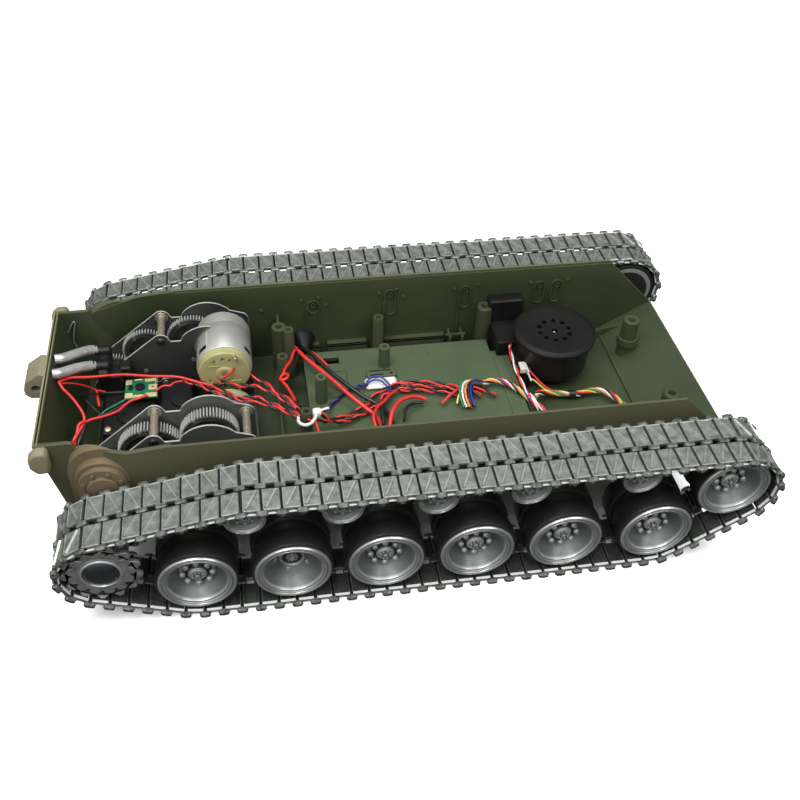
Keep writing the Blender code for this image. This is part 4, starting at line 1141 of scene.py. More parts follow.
def plate_outline(hump_x):
    """Side view of a gearbox plate, with a hump over its rear post."""
    x = X1
    foot = circle(SPROCKET_X, SPROCKET_Z + 1.0, 11.6, math.radians(125), math.radians(270), 12)
    nose = circle(x + 30.8, 69.5, 5.0, 0, math.radians(75), 6)
    arc = circle(x + 11.5, 66.1, 17.4, math.radians(38), math.radians(140), 24)
    flat = [(x - 3.0, 74.5), (hump_x + 5.5, 74.5)]
    hump = circle(hump_x, 74.9, 4.7, math.radians(20), math.radians(125), 10)
    return foot + [(x + 35.7, 30.6)] + nose + arc + flat + hump


def shrunk(outline, inset):
    """Closed outline with every point moved inwards by about the inset."""
    area = sum(a[0] * b[1] - b[0] * a[1] for a, b in zip(outline, outline[1:] + outline[:1]))
    sign = 1 if area > 0 else -1
    result = []
    for i, point in enumerate(outline):
        ahead = Vector(outline[(i + 1) % len(outline)]) - Vector(point)
        behind = Vector(point) - Vector(outline[i - 1])
        along = (ahead.normalized() + behind.normalized()).normalized()
        result.append((point[0] - sign * along.y * inset, point[1] + sign * along.x * inset))
    return result


def phillips(shape, holes, x, z, y, side):
    """Domed screw head on a plate face, with a cross cut in it."""
    size = 2.4
    shape.lathe([(0, y + side * 1.5), (size * 0.45, y + side * 1.4), (size * 0.8, y + side * 0.95),
                 (size, y + side * 0.3), (size, y - side * 0.2), (0, y - side * 0.2)], 24, (x, 0, z))
    for a, b in ((0.28, 0.09), (0.09, 0.28)):
        low, high = sorted((y + side * 1.0, y + side * 2.4))
        holes.box((x - size * a * 2, low, z - size * b * 2), (x + size * a * 2, high, z + size * b * 2))


def build_gearboxes():
    """Plates with bright edges, posts, screws, the gear train and its shaft."""
    x = X1
    for name, side in SIDES:
        hump_x = x - 14.0 if name == "left" else x - 16.0
        outline = plate_outline(hump_x)
        train = gear_train(name)
        pinion = train["pinion"][0]
        plates, edges = Shape(), Shape()
        for y in (PLATE_OUT_Y, PLATE_IN_Y):
            plates.prism(shrunk(outline, 0.14), *span(side, y - PLATE_T / 2, y + PLATE_T / 2))
            edges.prism(outline, *span(side, y - 0.42, y + 0.42))
        cuts = Shape()
        low, high = span(side, 20, 60)
        cuts.cylinder((SPROCKET_X, 0, SPROCKET_Z), 3.6, low, high)
        cuts.cylinder((x - 30.0, 0, 37.0), 2.2, low, high)
        cuts.cylinder((x + 25.0, 0, 36.0), 1.8, low, high)
        if name == "left":
            cuts.cylinder((pinion[0], 0, pinion[1]), 16.3, *span(side, 20, PLATE_OUT_Y - PLATE_T), sides=48)
        low, high = span(side, 40, 60) if name == "left" else span(side, 20, 40)
        cuts.cylinder((pinion[0], 0, pinion[1]), 5.4, low, high)
        piece(f"{name}_gear_plates", boolean(plates, [cuts]), f"plate_{name}", "chassis",
              (f"{name}_gearbox_frame",))
        piece(f"{name}_plate_edges", boolean(edges, [cuts]), "edge", "chassis")
        posts = Shape()
        spots = [(hump_x, 75.2), (x + 12.0, 34.6)]
        if name == "right":
            spots.append((x + 30.8, 70.2))
        low, high = span(side, PLATE_IN_Y, PLATE_OUT_Y)
        for px, pz in spots:
            posts.cylinder((px, 0, pz), 2.1, low, high, sides=24, chamfer=0.2)
            for face in (PLATE_IN_Y + 0.5, PLATE_OUT_Y - 1.1):
                posts.cylinder((px, 0, pz), 3.7, *span(side, face, face + 0.6), sides=28, chamfer=0.1)
        for gear in ("middle", "big"):
            (gx, gz), _ = train[gear]
            posts.cylinder((gx, 0, gz), 1.75, low, high, sides=20)
            posts.cylinder((gx, 0, gz), 1.3, *span(side, PLATE_IN_Y - 1.0, PLATE_IN_Y - 0.5), sides=16)
        piece(f"{name}_standoffs", posts.mesh("posts", 30), "nickel", "chassis")
        heads, crosses = Shape(), Shape()
        for px, pz in spots:
            phillips(heads, crosses, px, pz, side * (PLATE_IN_Y - PLATE_T / 2), -side)
            phillips(heads, crosses, px, pz, side * (PLATE_OUT_Y + PLATE_T / 2), side)
        piece(f"{name}_frame_screws", boolean(heads, [crosses]), "screw", "chassis")
        ends = {"left": (46.6, 50.0), "right": (31.4, 38.0)}[name]
        low, high = span(side, *ends)
        for gear, node in (("middle", "reduction_gear"), ("big", "large_gear")):
            (gx, gz), teeth = train[gear]
            mesh = gear_solid(teeth, low, high, 2.1)
            piece(f"{name}_{node}_wheel", mesh, "gear", f"{name}_{node}", (f"{name}_{node}",),
                  (gx, 0, gz))
        mesh = gear_solid(FINAL_TEETH, low, high, 2.0, False)
        piece(f"{name}_final_gear", mesh, "gear", f"{name}_sprocket", (f"{name}_drive_shaft",),
              (SPROCKET_X, 0, SPROCKET_Z))
        shaft = Shape()
        shaft.cylinder((0, 0, 0), 2.15, *span(side, 31.5, 91.5), sides=28, chamfer=0.3)
        piece(f"{name}_final_shaft", shaft.mesh("shaft", 30), "gear", f"{name}_sprocket", (),
              (SPROCKET_X, 0, SPROCKET_Z))
        mesh = gear_solid(PINION_TEETH, low, high, 1.3, False)
        piece(f"{name}_pinion_gear", mesh, "brass", f"{name}_pinion", (f"{name}_pinion",),
              (pinion[0], 0, pinion[1]))


def build_motors():
    """Can motors: ribbed can with slots, pale bell with holes and ribs, terminals and shaft."""
    for name in GEARS:
        px, pz = gear_train(name)["pinion"][0]
        back, front = (46.0, 4.0) if name == "left" else (-27.6, 3.2)
        way = 1 if front < back else -1        # +1 when the bell end points to -Y

        def at(depth):
            return back - way * depth

        length = abs(back - front)
        can = Shape()
        can.lathe([
            (0, at(0)), (6.4, at(0)), (6.4, at(1.4)), (12.6, at(1.5)), (13.4, at(2.0)), (13.9, at(3.4)),
            (14.1, at(3.9)),
            (15.0, at(4.2)), (15.3, at(5.0)), (15.3, at(length * 0.30)), (15.2, at(length * 0.30 + 0.4)),
            (15.3, at(length * 0.30 + 0.8)), (15.3, at(length - 6.4)), (15.1, at(length - 6.0)),
            (0, at(length - 6.0)),
        ], 72)
        cuts = Shape()
        low, high = sorted((at(length - 12.4), at(length - 9.2)))
        slots = Shape()
        for start, end in ((-1.02, -0.62), (0.9, 1.3), (2.6, 3.1)):
            turns = [start + (end - start) * k / 10 for k in range(11)]
            arc = [(15.36 * math.sin(a), 15.36 * math.cos(a)) for a in turns]
            arc += [(14.3 * math.sin(a), 14.3 * math.cos(a)) for a in reversed(turns)]
            slots.prism(arc, low, high)
        piece(f"{name}_motor_slots", slots.mesh("slots", 30), "black", "chassis", (), (px, 0, pz))
        cuts.lathe([(0, at(length * 0.42) - 0.8), (0.9, at(length * 0.42) - 0.8), (0.9, at(length * 0.42) + 0.8),
                    (0, at(length * 0.42) + 0.8)], 12, (15.2 * math.sin(-0.62), 0, 15.2 * math.cos(-0.62)))
        piece(f"{name}_motor_can", boolean(can, [cuts]), "can", "chassis", (f"{name}_motor",),
              (px, 0, pz))
        bell = Shape()
        bell.lathe([
            (0, at(length - 6.5)), (14.3, at(length - 6.5)), (14.3, at(length - 2.2)), (13.8, at(length - 1.5)),
            (12.6, at(length - 1.1)), (5.2, at(length - 1.0)), (4.4, at(length - 0.4)), (3.9, at(length)),
            (2.2, at(length)), (1.7, at(length - 0.6)), (0, at(length - 0.6)),
        ], 64)
        holes = Shape()
        for k, (radius, turn) in enumerate(((9.6, 0.35), (9.9, -0.05), (10.2, -0.55), (9.6, 2.7), (9.9, 3.2),
                                            (9.4, 4.2))):
            cx, cz = radius * math.sin(turn), radius * math.cos(turn)
            low, high = sorted((at(length - 3.5), at(length + 1)))
            wide = 1.9 if k % 2 else 1.4
            holes.prism([(cx - wide, cz - 0.9), (cx + wide, cz - 0.5), (cx + 0.2, cz + 1.3)], low, high)
        piece(f"{name}_motor_bell", boolean(bell, [holes]), "bell", "chassis", (), (px, 0, pz),
              bevel=0.12)
        trim = Shape()
        low, high = sorted((at(length - 1.6), at(length - 0.75)))
        trim.box((-8.5, low, 5.2), (-2.0, high, 5.9), 0.15)
        trim.box((3.0, low, -6.2), (9.0, high, -5.5), 0.15)
        piece(f"{name}_bell_ribs", trim.mesh("bell_ribs", 30), "bell", "chassis", (), (px, 0, pz))
        tabs = Shape()
        for tx, tz in ((6.4, 10.2), (-8.2, -8.6)):
            low, high = sorted((at(length - 2.5), at(length - 0.1)))
            tabs.box((tx - 0.3, low, tz - 1.3), (tx + 0.3, high, tz + 1.3), 0.1)
            tabs.lathe([(0, at(length - 0.05)), (0.8, at(length - 0.4)), (1.1, at(length - 1.1)),
                        (0.8, at(length - 1.9)), (0, at(length - 2.2))], 12, (tx, 0, tz + 1.0))
        tabs.cylinder((6.6, 0, 11.4), 1.0, *sorted((at(length - 5.0), at(length + 1.4))), sides=16, chamfer=0.3)
        tabs.cylinder((0, 0, 0), 1.25, *sorted((at(-0.9), at(8))), sides=20)
        tabs.cylinder((0, 0, 0), 1.2, *sorted((at(length - 3), at(length - 0.2))), sides=20)
        piece(f"{name}_motor_tabs", tabs.mesh("tabs", 30), "nickel", "chassis", (), (px, 0, pz))


# ---- speaker, smoke unit, board ---------------------------------------------------
def build_speaker():
    """Round speaker with a perforated face, and its black mount."""
    sx, sy, top = X1 + 219.0, 28.0, 62.0
    cup = Shape().lathe([
        (0, top - 4.4), (21.0, top - 4.4), (22.0, top - 1.2), (23.4, top - 0.5), (24.9, top - 1.0),
        (25.3, top - 1.5),
        (25.4, top - 2.6), (25.0, top - 3.1), (23.6, top - 4.0), (23.0, top - 5.0), (22.4, 39.5), (21.8, 38.9),
        (15.0, 38.9), (15.0, 30.0), (0, 30.0),
    ], 96, (sx, sy, 0), "Z")
    face = Shape().lathe([
        (0, top - 1.0), (8.0, top - 0.9), (16.0, top - 0.45), (22.0, top - 0.1), (23.6, top - 0.15),
        (24.3, top - 0.6),
        (24.4, top - 1.6), (0, top - 2.6),
    ], 96, (sx, sy, 0), "Z")
    holes = Shape()
    for k in range(10):
        turn = math.tau * (k + 0.2) / 10
        holes.cylinder((sx + 9.4 * math.cos(turn), sy + 9.4 * math.sin(turn), 0), 1.5, top - 4, top + 2, "Z", 20)
    holes.cylinder((sx, sy, 0), 1.9, top - 4, top + 2, "Z", 24)
    piece("speaker_cup", cup.mesh("cup", 30), "black", "chassis", ("speaker_box",))
    piece("speaker_face", boolean(face, [holes]), "black", "chassis", bevel=0.15)
    core = Shape().lathe([(0, top - 1.7), (0.9, top - 1.9), (1.3, top - 2.6), (0, top - 3.4)], 20, (sx, sy, 0), "Z")
    piece("speaker_core", core.mesh("core", 60), "chrome", "chassis")
    box = Shape()
    box.box((X1 + 186.0, 33.0, 30.0), (X1 + 206.0, 62.4, 50.5), 0.8)
    box.box((X1 + 184.5, 54.0, 30.0), (X1 + 206.0, 62.4, 66.0), 0.8)
    box.box((X1 + 194.5, 12.0, 30.0), (X1 + 203.0, 34.0, 46.0), 0.8)
    piece("speaker_mount", box.mesh("speaker_mount", 30), "black", "chassis")


PIPE_R, PIPE_BORE = 2.75, 2.1
PIPE_ROUTES = (                    # from the manifold to the rear plate, stations from X1
    ((-50.6, 30.6, 71.2), (-54.0, 28.4, 73.0), (-59.5, 23.0, 75.6), (-64.0, 18.6, 77.4), (-66.9, 16.4, 78.4),
     (-69.8, 15.6, 79.0)),
    ((-50.6, 17.6, 70.8), (-54.2, 14.9, 72.8), (-59.3, 10.8, 75.2), (-64.0, 6.4, 77.2), (-67.0, 4.0, 78.4),
     (-69.9, 3.2, 79.0)),
)


def build_smoke_unit():
    """Black housing with a manifold, and two bright pipes out of it."""
    x = X1
    body = Shape()
    body.box((x - 50.0, -25.0, 29.8), (x + 1.5, 25.5, 46.0), 0.8)
    body.box((x - 47.0, -20.0, 45.0), (x - 20.0, 22.0, 54.0), 0.9)
    body.box((x - 17.0, -22.0, 45.0), (x + 1.2, 24.0, 52.5), 0.9)
    body.cylinder((x - 33.0, -8.0, 0), 6.4, 53.0, 55.2, "Z", 36, 0.4)
    body.cylinder((x - 6.0, 2.0, 0), 4.4, 52.0, 54.0, "Z", 32, 0.3)
    body.box((x - 49.0, 14.0, 53.0), (x - 36.4, 26.0, 64.5), 0.8)
    body.box((x - 38.0, 19.0, 53.0), (x - 31.6, 26.6, 66.0), 0.8)
    body.box((x - 49.4, 12.4, 61.0), (x - 42.5, 35.4, 69.8), 1.4)
    for y in (17.6, 30.6):
        body.cylinder((0, y, 70.0), 3.0, x - 49.7, x - 42.0, "X", 28, 0.9)
    piece("smoke_housing", body.mesh("smoke_housing", 30), "black", "chassis", ("smoke_unit",))
    screws, crosses = Shape(), Shape()
    for sx, sy in ((-44.0, -17.0), (-23.0, -17.0), (-44.0, 19.0), (-2.0, -18.0), (-14.0, 20.5)):
        screws.lathe([(0, 55.2), (1.2, 55.0), (1.9, 54.4), (1.9, 51.5), (0, 51.5)], 20, (x + sx, sy, 0), "Z")
        crosses.box((x + sx - 1.2, sy - 0.3, 54.6), (x + sx + 1.2, sy + 0.3, 56.0))
        crosses.box((x + sx - 0.3, sy - 1.2, 54.6), (x + sx + 0.3, sy + 1.2, 56.0))
    piece("smoke_screws", boolean(screws, [crosses]), "nickel", "chassis")
    flange = Shape()
    for y in (17.6, 30.6):
        flange.cylinder((0, y, 71.0), 3.15, x - 51.0, x - 49.8, "X", 28, 0.3)
    piece("pipe_flange", flange.mesh("flange", 30), "black", "chassis", ("smoke_pipes",))
    for n, route in enumerate(PIPE_ROUTES, 1):
        line = smooth_line([(x + dx, y, z) for dx, y, z in route], FINE_STEP)
        pipe = tube(line, PIPE_R, 32, PIPE_BORE)
        piece(f"smoke_pipe_{n}", pipe.mesh("pipe", 50), "pipe", "chassis")


def build_board():
    """Small green board with pads and chips, and the wire clip at the rear."""
    x = X1
    board = Shape().box((x - 35.5, 1.5, 57.2), (x - 17.5, 17.5, 58.4), 0.2)
    piece("led_board", board.mesh("board", 30), "board", "chassis")
    feet = Shape()
    for px, py in ((-33.0, 4.0), (-20.0, 15.0)):
        feet.cylinder((x + px, py, 0), 1.2, 53.0, 57.4, "Z", 16)
    piece("board_feet", feet.mesh("feet", 30), "white", "chassis")
    pads = Shape()
    for px, py, w, d in ((-33.6, 14.9, 3.4, 3.6), (-21.6, 15.6, 6.4, 2.4), (-33.2, 3.8, 4.2, 3.8),
                         (-29.0, 2.9, 4.0, 2.0), (-21.0, 3.4, 6.2, 3.0), (-26.2, 2.9, 2.0, 1.8),
                         (-28.2, 16.6, 4.4, 1.0), (-18.4, 12.6, 1.4, 3.0)):
        pads.box((x + px - w / 2, py - d / 2, 58.3), (x + px + w / 2, py + d / 2, 58.75), 0.15)
    ring = Shape().box((x - 22.6, 7.6, 58.3), (x - 18.0, 11.6, 58.8), 0.15)
    hole = Shape().cylinder((x - 20.4, 9.6, 0), 0.8, 58.0, 59.0, "Z", 16)
    piece("board_pads", pads.mesh("pads", 30), "pad", "chassis")
    piece("board_ring", boolean(ring, [hole]), "pad", "chassis")
    chips = Shape()
    chips.cylinder((x - 27.2, 9.8, 0), 2.6, 58.2, 60.0, "Z", 28, 0.2)
    chips.box((x - 33.4, 8.4, 58.3), (x - 31.2, 12.0, 59.3), 0.15)
    piece("board_chips", chips.mesh("chips", 30), "black", "chassis")
    clip = tube(smooth_line([(x - 67.6, 51.2, 69.2), (x - 65.2, 51.4, 73.6), (x - 63.4, 51.4, 76.2),
                             (x - 62.8, 51.4, 75.0), (x - 63.9, 51.3, 71.0), (x - 65.2, 51.3, 65.6),
                             (x - 65.8, 51.2, 61.0), (x - 64.6, 50.6, 58.4)],
                            FINE_STEP), 0.42, 10)
    piece("wire_clip", clip.mesh("clip", 60), "ridge", "chassis")


# ---- wires ------------------------------------------------------------------------
FINE_STEP, WIRE_STEP = 0.8, 1.0    # between points along a line


def smooth_line(route, step):
    """Points about one step apart on a Catmull-Rom curve through the route."""
    route = [Vector(p) for p in route]
    ends = [2 * route[0] - route[1]] + route + [2 * route[-1] - route[-2]]
    points = []
    for i in range(1, len(ends) - 2):
        a, b, c, d = ends[i - 1:i + 3]
        count = max(1, round((c - b).length / step))
        for k in range(count):
            t = k / count
            points.append(0.5 * (2 * b + (c - a) * t + (2 * a - 5 * b + 4 * c - d) * t ** 2
                                 + (3 * b - a - 3 * c + d) * t ** 3))
    points.append(route[-1])
    return points


def frames(points):
    """Tangent, normal and binormal along a line, without sudden turns."""
    tangents = []
    for i in range(len(points)):
        a, b = points[max(i - 1, 0)], points[min(i + 1, len(points) - 1)]
        tangents.append((b - a).normalized())
    normal = Vector((0, 0, 1))
    result = []
    for t in tangents:
        normal = normal - t * normal.dot(t)
        if normal.length < 1e-6:
            normal = t.orthogonal()
        normal.normalize()
        result.append((t, normal.copy(), t.cross(normal)))
    return result


def tube(points, radius, sides=12, hollow=0.0):
    """Round tube along points; a hollow radius opens its two ends."""
    points = [Vector(p) for p in points]
    axes = frames(points)
    rings = [(p, radius, a) for p, a in zip(points, axes)]
    if hollow:
        rings += [(p, hollow, a) for p, a in zip(reversed(points), reversed(axes))]
    ring_points = []
    for p, r, (_, n, b) in rings:
        for k in range(sides):
            turn = math.tau * k / sides
            ring_points.append(p + n * (r * math.cos(turn)) + b * (r * math.sin(turn)))
    faces = []
    count = len(rings)
    last = count if hollow else count - 1
    for i in range(last):
        j = (i + 1) % count
        for k in range(sides):
            m = (k + 1) % sides
            faces.append([i * sides + k, i * sides + m, j * sides + m, j * sides + k])
    if not hollow:
        faces.append(list(range(sides)))
        faces.append([(count - 1) * sides + k for k in range(sides)])
    return Shape().add(ring_points, faces)


def wire(name, look, radius, *route):
    """One insulated wire along stations measured from the first road wheel."""
    line = smooth_line([(X1 + x, y, z) for x, y, z in route], WIRE_STEP)
    mesh = tube(line, radius).mesh(name, 60)
    piece(name, mesh, look, "chassis")


def twisted(name, colours, radius, lay, *route, phase=0.0, replaces=()):
    """Wires wound round one line; lay is the length of a full turn."""
    line = smooth_line([(X1 + x, y, z) for x, y, z in route], FINE_STEP)
    axes = frames(line)
    away = radius / math.sin(math.pi / len(colours))
    runs = [0.0]
    for a, b in zip(line, line[1:]):
        runs.append(runs[-1] + (b - a).length)
    for n, colour in enumerate(colours):
        points = []
        for p, (_, normal, side), run in zip(line, axes, runs):
            turn = math.tau * (run / lay + n / len(colours)) + phase
            points.append(p + normal * (away * math.cos(turn)) + side * (away * math.sin(turn)))
        mesh = tube(points, radius, 10).mesh(f"{name}_{n}", 60)
        piece(f"{name}_{n + 1}", mesh, colour, "chassis", replaces if n == 0 else ())


def build_wires():
    """Single wires, twisted pairs and looms, with their plugs and ties."""
    red, black = "red", "wire_black"       # finishes
    # lamp and switch leads in the rear bay
    wire("switch_lead_top", red, 0.75, (-67.0, 1.2, 75.0), (-61.7, 5.6, 73.4), (-55.5, 7.2, 71.6),
         (-49.8, 8.6, 70.2), (-41.2, 11.0, 68.2), (-33.3, 12.4, 66.6), (-21.0, 12.3, 64.2), (-7.3, 10.4, 64.0),
         (0.9, 7.1, 63.5), (6, 5, 62.8), (13, 2, 62.5))
    wire("switch_lead_low", red, 0.75, (-67.0, 1.2, 75.0), (-64.9, -2.6, 73.4), (-60.5, -6.4, 69.4),
         (-56.9, -10.9, 65.8), (-55, -14.6, 63.7), (-54.6, -18, 61.7))
    wire("lamp_lead", red, 0.75, (-54.6, -18.4, 61.7), (-51.5, -15.6, 61), (-44.6, -12.6, 60), (-38, -9.5, 60),
         (-34.5, -5.2, 60), (-31.4, -2.3, 60), (-28, -1.1, 60), (-23, 2.0, 59.5))
    wire("rear_lead", red, 1.0, (-54.6, -17.4, 62.4), (-56.2, -21.9, 61.5), (-58.6, -27, 60.5), (-60.6, -30, 58),
         (-61.5, -31.5, 53))
    wire("rear_lead_2", red, 0.8, (-54.4, -18.6, 63), (-57, -21.4, 63.4), (-58.4, -26.2, 60.5), (-59.8, -30.4, 57),
         (-60.5, -32, 52))
    wire("rear_lead_dark", black, 0.9, (-53.8, -17.3, 60.5), (-55.3, -23.5, 60.2), (-57.2, -28.6, 58.5),
         (-58.7, -32, 55), (-59.1, -33, 50))
    wire("fan_lead_red", red, 0.55, (-65.5, 0.9, 74), (-59.9, 6.1, 68.4), (-54.6, 9.6, 62.5), (-51.5, 11.2, 58.4),
         (-46.5, 11, 56.5))
    wire("fan_lead_drop", red, 0.7, (-51.6, 11.4, 58.8), (-50.8, 10.0, 57.0), (-50.2, 5.1, 56), (-49.4, 1.0, 55))
    wire("fan_lead_dark", black, 0.5, (-57.6, 0.5, 65.4), (-53.1, 5.3, 60.8), (-47, 9.6, 57), (-38, 9.6, 56.5),
         (-35, 9, 57))
    wire("lamp_lead_dark", black, 0.5, (-55.3, -0.9, 62.2), (-51.6, -3.8, 58.7), (-47, -8, 57), (-41, -5, 57),
         (-35, -1, 57), (-30, 0, 57.5))
    wire("lamp_lead_green", "green", 0.45, (-49, -8, 56), (-45, -4, 56.5), (-40, -1, 57), (-35, 2, 57.5))
    wire("board_lead", red, 0.6, (-18.5, 5.0, 59.2), (-14.4, 7.9, 60), (-10.5, 7.6, 60), (-7.8, 9.6, 60.5),
         (0, 9.5, 61), (6, 6.5, 61.5))
    wire("board_lead_dark", black, 0.55, (-18.5, 12.0, 59), (-12, 13.5, 60), (-4, 12.5, 60.5), (3, 8.5, 61),
         (10, 3.5, 61.5))

    # twisted pairs from the motors to the post, tied there
    pair = ("red", "wire_black")
    twisted("motor_pair_a", pair, 0.72, 15, (6, 11, 62), (13, 12.6, 62.6), (21, 13, 63), (27.6, 12, 62.8),
            (34, 8.4, 62.4), (40.6, 2.9, 62), (47.3, -5.6, 61.5), (54, -13, 61), (60, -19.3, 60),
            replaces=("motor_harness",))
    twisted("motor_pair_b", pair, 0.72, 13, (16, 6, 62), (24, 2, 62), (30.4, 0.5, 61.6), (38, -1, 61.4),
            (44, -5, 61.2), (50, -11, 60.6), (58, -20, 60), phase=1.4)
    twisted("motor_pair_c", pair, 0.66, 14, (6, 6.4, 62), (13, 1.5, 62), (19.3, -2.8, 62.2),
            (26.7, -10.4, 62.2), (33, -13.6, 62), (39.6, -15.3, 61.8), (45, -18.4, 61.4), (51.6, -22.4, 60.8),
            (57.2, -26.5, 60), phase=2.2)
    twisted("motor_pair_d", pair, 0.62, 12, (-2, 9, 61), (6, 4, 61.6), (14, -3, 61.8), (22, -8, 61.6),
            (30, -9, 61.4), (38.4, -10, 61), (46.7, -16, 60.4), (54.4, -21.5, 60), (59.5, -25.3, 59), phase=0.6)
    wire("bell_lead_red", red, 0.7, (26, 5.2, 72), (24, 4.2, 69), (19, 4.4, 65.5), (12, 8.5, 62.5), (8, 10.5, 62))
    wire("bell_lead_dark", black, 0.8, (12.5, 5.2, 60), (16, 3.6, 61.5), (22, 3.2, 62), (29, 1.0, 61))
    # on from the post down to the cover
    twisted("cover_pair_a", pair, 0.66, 15, (63, -28.5, 58.5), (69, -27, 56), (75, -22, 50),
            (81, -16.5, 46.5), (88.5, -12.5, 44.5), (94.3, -8, 43.8), (100, -3.3, 43.4), (103.6, 2, 43.2),
            (111, 7, 43.4), (118.3, 10.8, 43.4), (127, 11.4, 43.2), replaces=("battery_lead",))
    twisted("cover_pair_b", pair, 0.66, 12, (66, -19.5, 58), (71, -19, 54), (78, -20, 47.5), (86, -17, 44.4),
            (94, -12.5, 43), (101, -8, 42.6), (108, -2, 43), (110.3, 1.9, 43.6), (117.4, 5.4, 43.6),
            (126.7, 7.3, 43.4), phase=1.0)
    wire("drop_lead_red", red, 0.9, (66.5, -26.5, 58.8), (68, -30, 55), (69.5, -35, 50), (70, -41, 45))
    twisted("signal_pair", ("blue", "wire_black"), 0.6, 8, (102.3, 12.7, 43.4), (98, 12.6, 43),
            (94, 11.8, 42.4), (88, 9, 41.9), (80, 0.6, 42.2), (76.8, -5, 44), (73.3, -13, 50), (70, -18.5, 56))
    wire("signal_arc_1", "blue", 0.55, (101.5, 14.5, 44.2), (106, 17.0, 45.4), (111, 16.2, 45.2),
         (114.5, 11.5, 44), (115, 7, 43))
    wire("signal_arc_2", "blue", 0.55, (101, 12.0, 44.2), (105.5, 14.0, 45.4), (110, 13.2, 45.2),
         (113, 9.4, 44), (113.5, 5, 43))
    # battery leads
    wire("battery_lead_red", red, 1.25, (60.3, 51, 46), (60.8, 47.5, 49), (63, 41.5, 50.5), (68, 32, 50.5),
         (74, 23.4, 50), (81.4, 13, 49), (90, 1, 47), (98, -8, 44.5), (103, -14, 43.2), (106, -24, 43))
    wire("battery_lead_dark", black, 1.25, (66, 50, 44), (67, 46.5, 47), (71.2, 39.7, 48.2), (79.8, 23.7, 47.8),
         (89, 11.4, 46.6), (98.3, 1.4, 44.6), (105, -4, 43.2), (110, -12, 43), (112, -24, 43))
    wire("plug_lead", red, 0.7, (69.5, 50, 40), (72.5, 45.5, 44), (77, 38.5, 44), (81, 33, 42.5))
    wire("knot_lead_red", red, 0.85, (62.4, 42, 51), (60.6, 34.5, 55), (58, 25, 56.5), (54.4, 17.7, 57),
         (52.6, 12, 57.4), (50.8, 8.2, 58), (51.5, 5.2, 59.2), (54.6, 5.8, 60), (55.4, 9.4, 59.6),
         (52.8, 10.8, 58.6), (51.2, 7.0, 58.4), (54, 1, 58.4), (56.2, -6, 58.6), (58, -13, 59))
    wire("knot_lead_dark", black, 0.8, (63.6, 41.5, 49), (62.4, 34, 51.5), (60, 25, 53.5), (56.5, 16, 54.8),
         (54, 9, 55.8), (55, 2, 57), (57, -5, 57.6), (59, -12, 58))
    # leads that dive behind the near wall
    wire("dive_lead_1", red, 0.95, (118, 5, 43.6), (113.5, 1.0, 44.6), (110, -4.6, 46), (104.2, -11.4, 47),
         (101.2, -18.3, 47), (101.5, -26, 45))
    wire("dive_lead_2", red, 1.2, (134, -5, 44), (129.5, -3.8, 45.5), (124.4, -5.0, 47), (117.7, -8.9, 48),
         (112, -17.4, 48), (109, -27, 45))
    wire("dive_lead_dark", black, 1.1, (112, 1, 43), (108.5, -5, 44.8), (107, -14, 46), (106, -24, 45))
    wire("dive_lead_3", black, 0.9, (131.8, -7.2, 43.6), (126, -8.6, 45), (121, -13, 46), (118, -22, 45))
    # loom along the cover, then over the drop to the front
    twisted("loom_pair_a", pair, 0.72, 17, (121.5, 12, 43.4), (130.5, 11.8, 43.2), (139.3, 10.2, 43),
            (148, 7.4, 43), (155.1, 3.6, 43.4), (163, 0, 43.2), (167, -5.5, 43), replaces=("speaker_loom",))
    twisted("loom_pair_b", pair, 0.72, 16, (121.5, 8.6, 43.2), (130.5, 8.2, 43.2), (139, 6.8, 43),
            (148, 4.5, 43), (155.1, 1.4, 43.6), (162, 1.8, 43.8), (169, 0.5, 43.4), (176, -6, 43), phase=1.7)
    twisted("loom_pair_c", pair, 0.66, 14, (120.5, 5.6, 43), (129.4, 5, 43), (138, 3, 43), (146, 0.8, 43),
            (153, -1.8, 43), (158, -6, 43), (160, -14, 43), phase=0.4)
    wire("loom_stub_red", red, 0.85, (142.5, -9, 43), (147, -5, 44.2), (151.5, -1.5, 44.6), (156, 2.5, 44.2))
    wire("loom_yellow", "yellow", 0.6, (151.6, -9.8, 43), (153.4, -5.2, 44.4), (156, -1, 45), (161, 1.6, 45))
    for n, (colour, shift) in enumerate((("green", 0.0), ("wire_white", 1.6), ("orange", 3.4), ("wire_black", 5.2),
                                         ("blue", 6.6))):
        wire(f"loom_arch_{n + 1}", colour, 0.62, (155 + shift, -13.5, 43), (154.2 + shift, -8, 44.6),
             (154.6 + shift, -2, 46), (156.8 + shift, 3.4, 46.6), (161 + shift, 5.6, 46.2),
             (166 + shift * 0.6, 4.2, 45))
    wrap = tube(smooth_line([(X1 + 162, 3.4, 44.6), (X1 + 165, 3.8, 44.8),
                             (X1 + 169.5, 3.0, 44.6)], FINE_STEP), 2.3, 20)
    piece("loom_sleeve", wrap.mesh("sleeve", 40), "wire_black", "chassis")
    many = ("wire_white", "red", "blue", "yellow", "orange", "wire_black")
    twisted("loom_front", many, 0.58, 19, (167, 3.2, 44.4), (172, 4.8, 44.4), (177, 6, 44.4),
            (181.5, 5, 44.2), (186, 1.8, 43.8), (190, -2.4, 43.2), (194, -7, 42), (198.5, -11.5, 39),
            (203, -15.5, 35.5), (207, -19, 33.5), (210, -24, 32.5), (212, -32, 32))
    twisted("loom_tail_red", ("red", "wire_white"), 0.75, 16, (196, -6, 42), (200, -12, 39.5),
            (205, -17.5, 36.5), (211, -21, 35), (217, -24, 34), (220, -30, 33), phase=1.1)
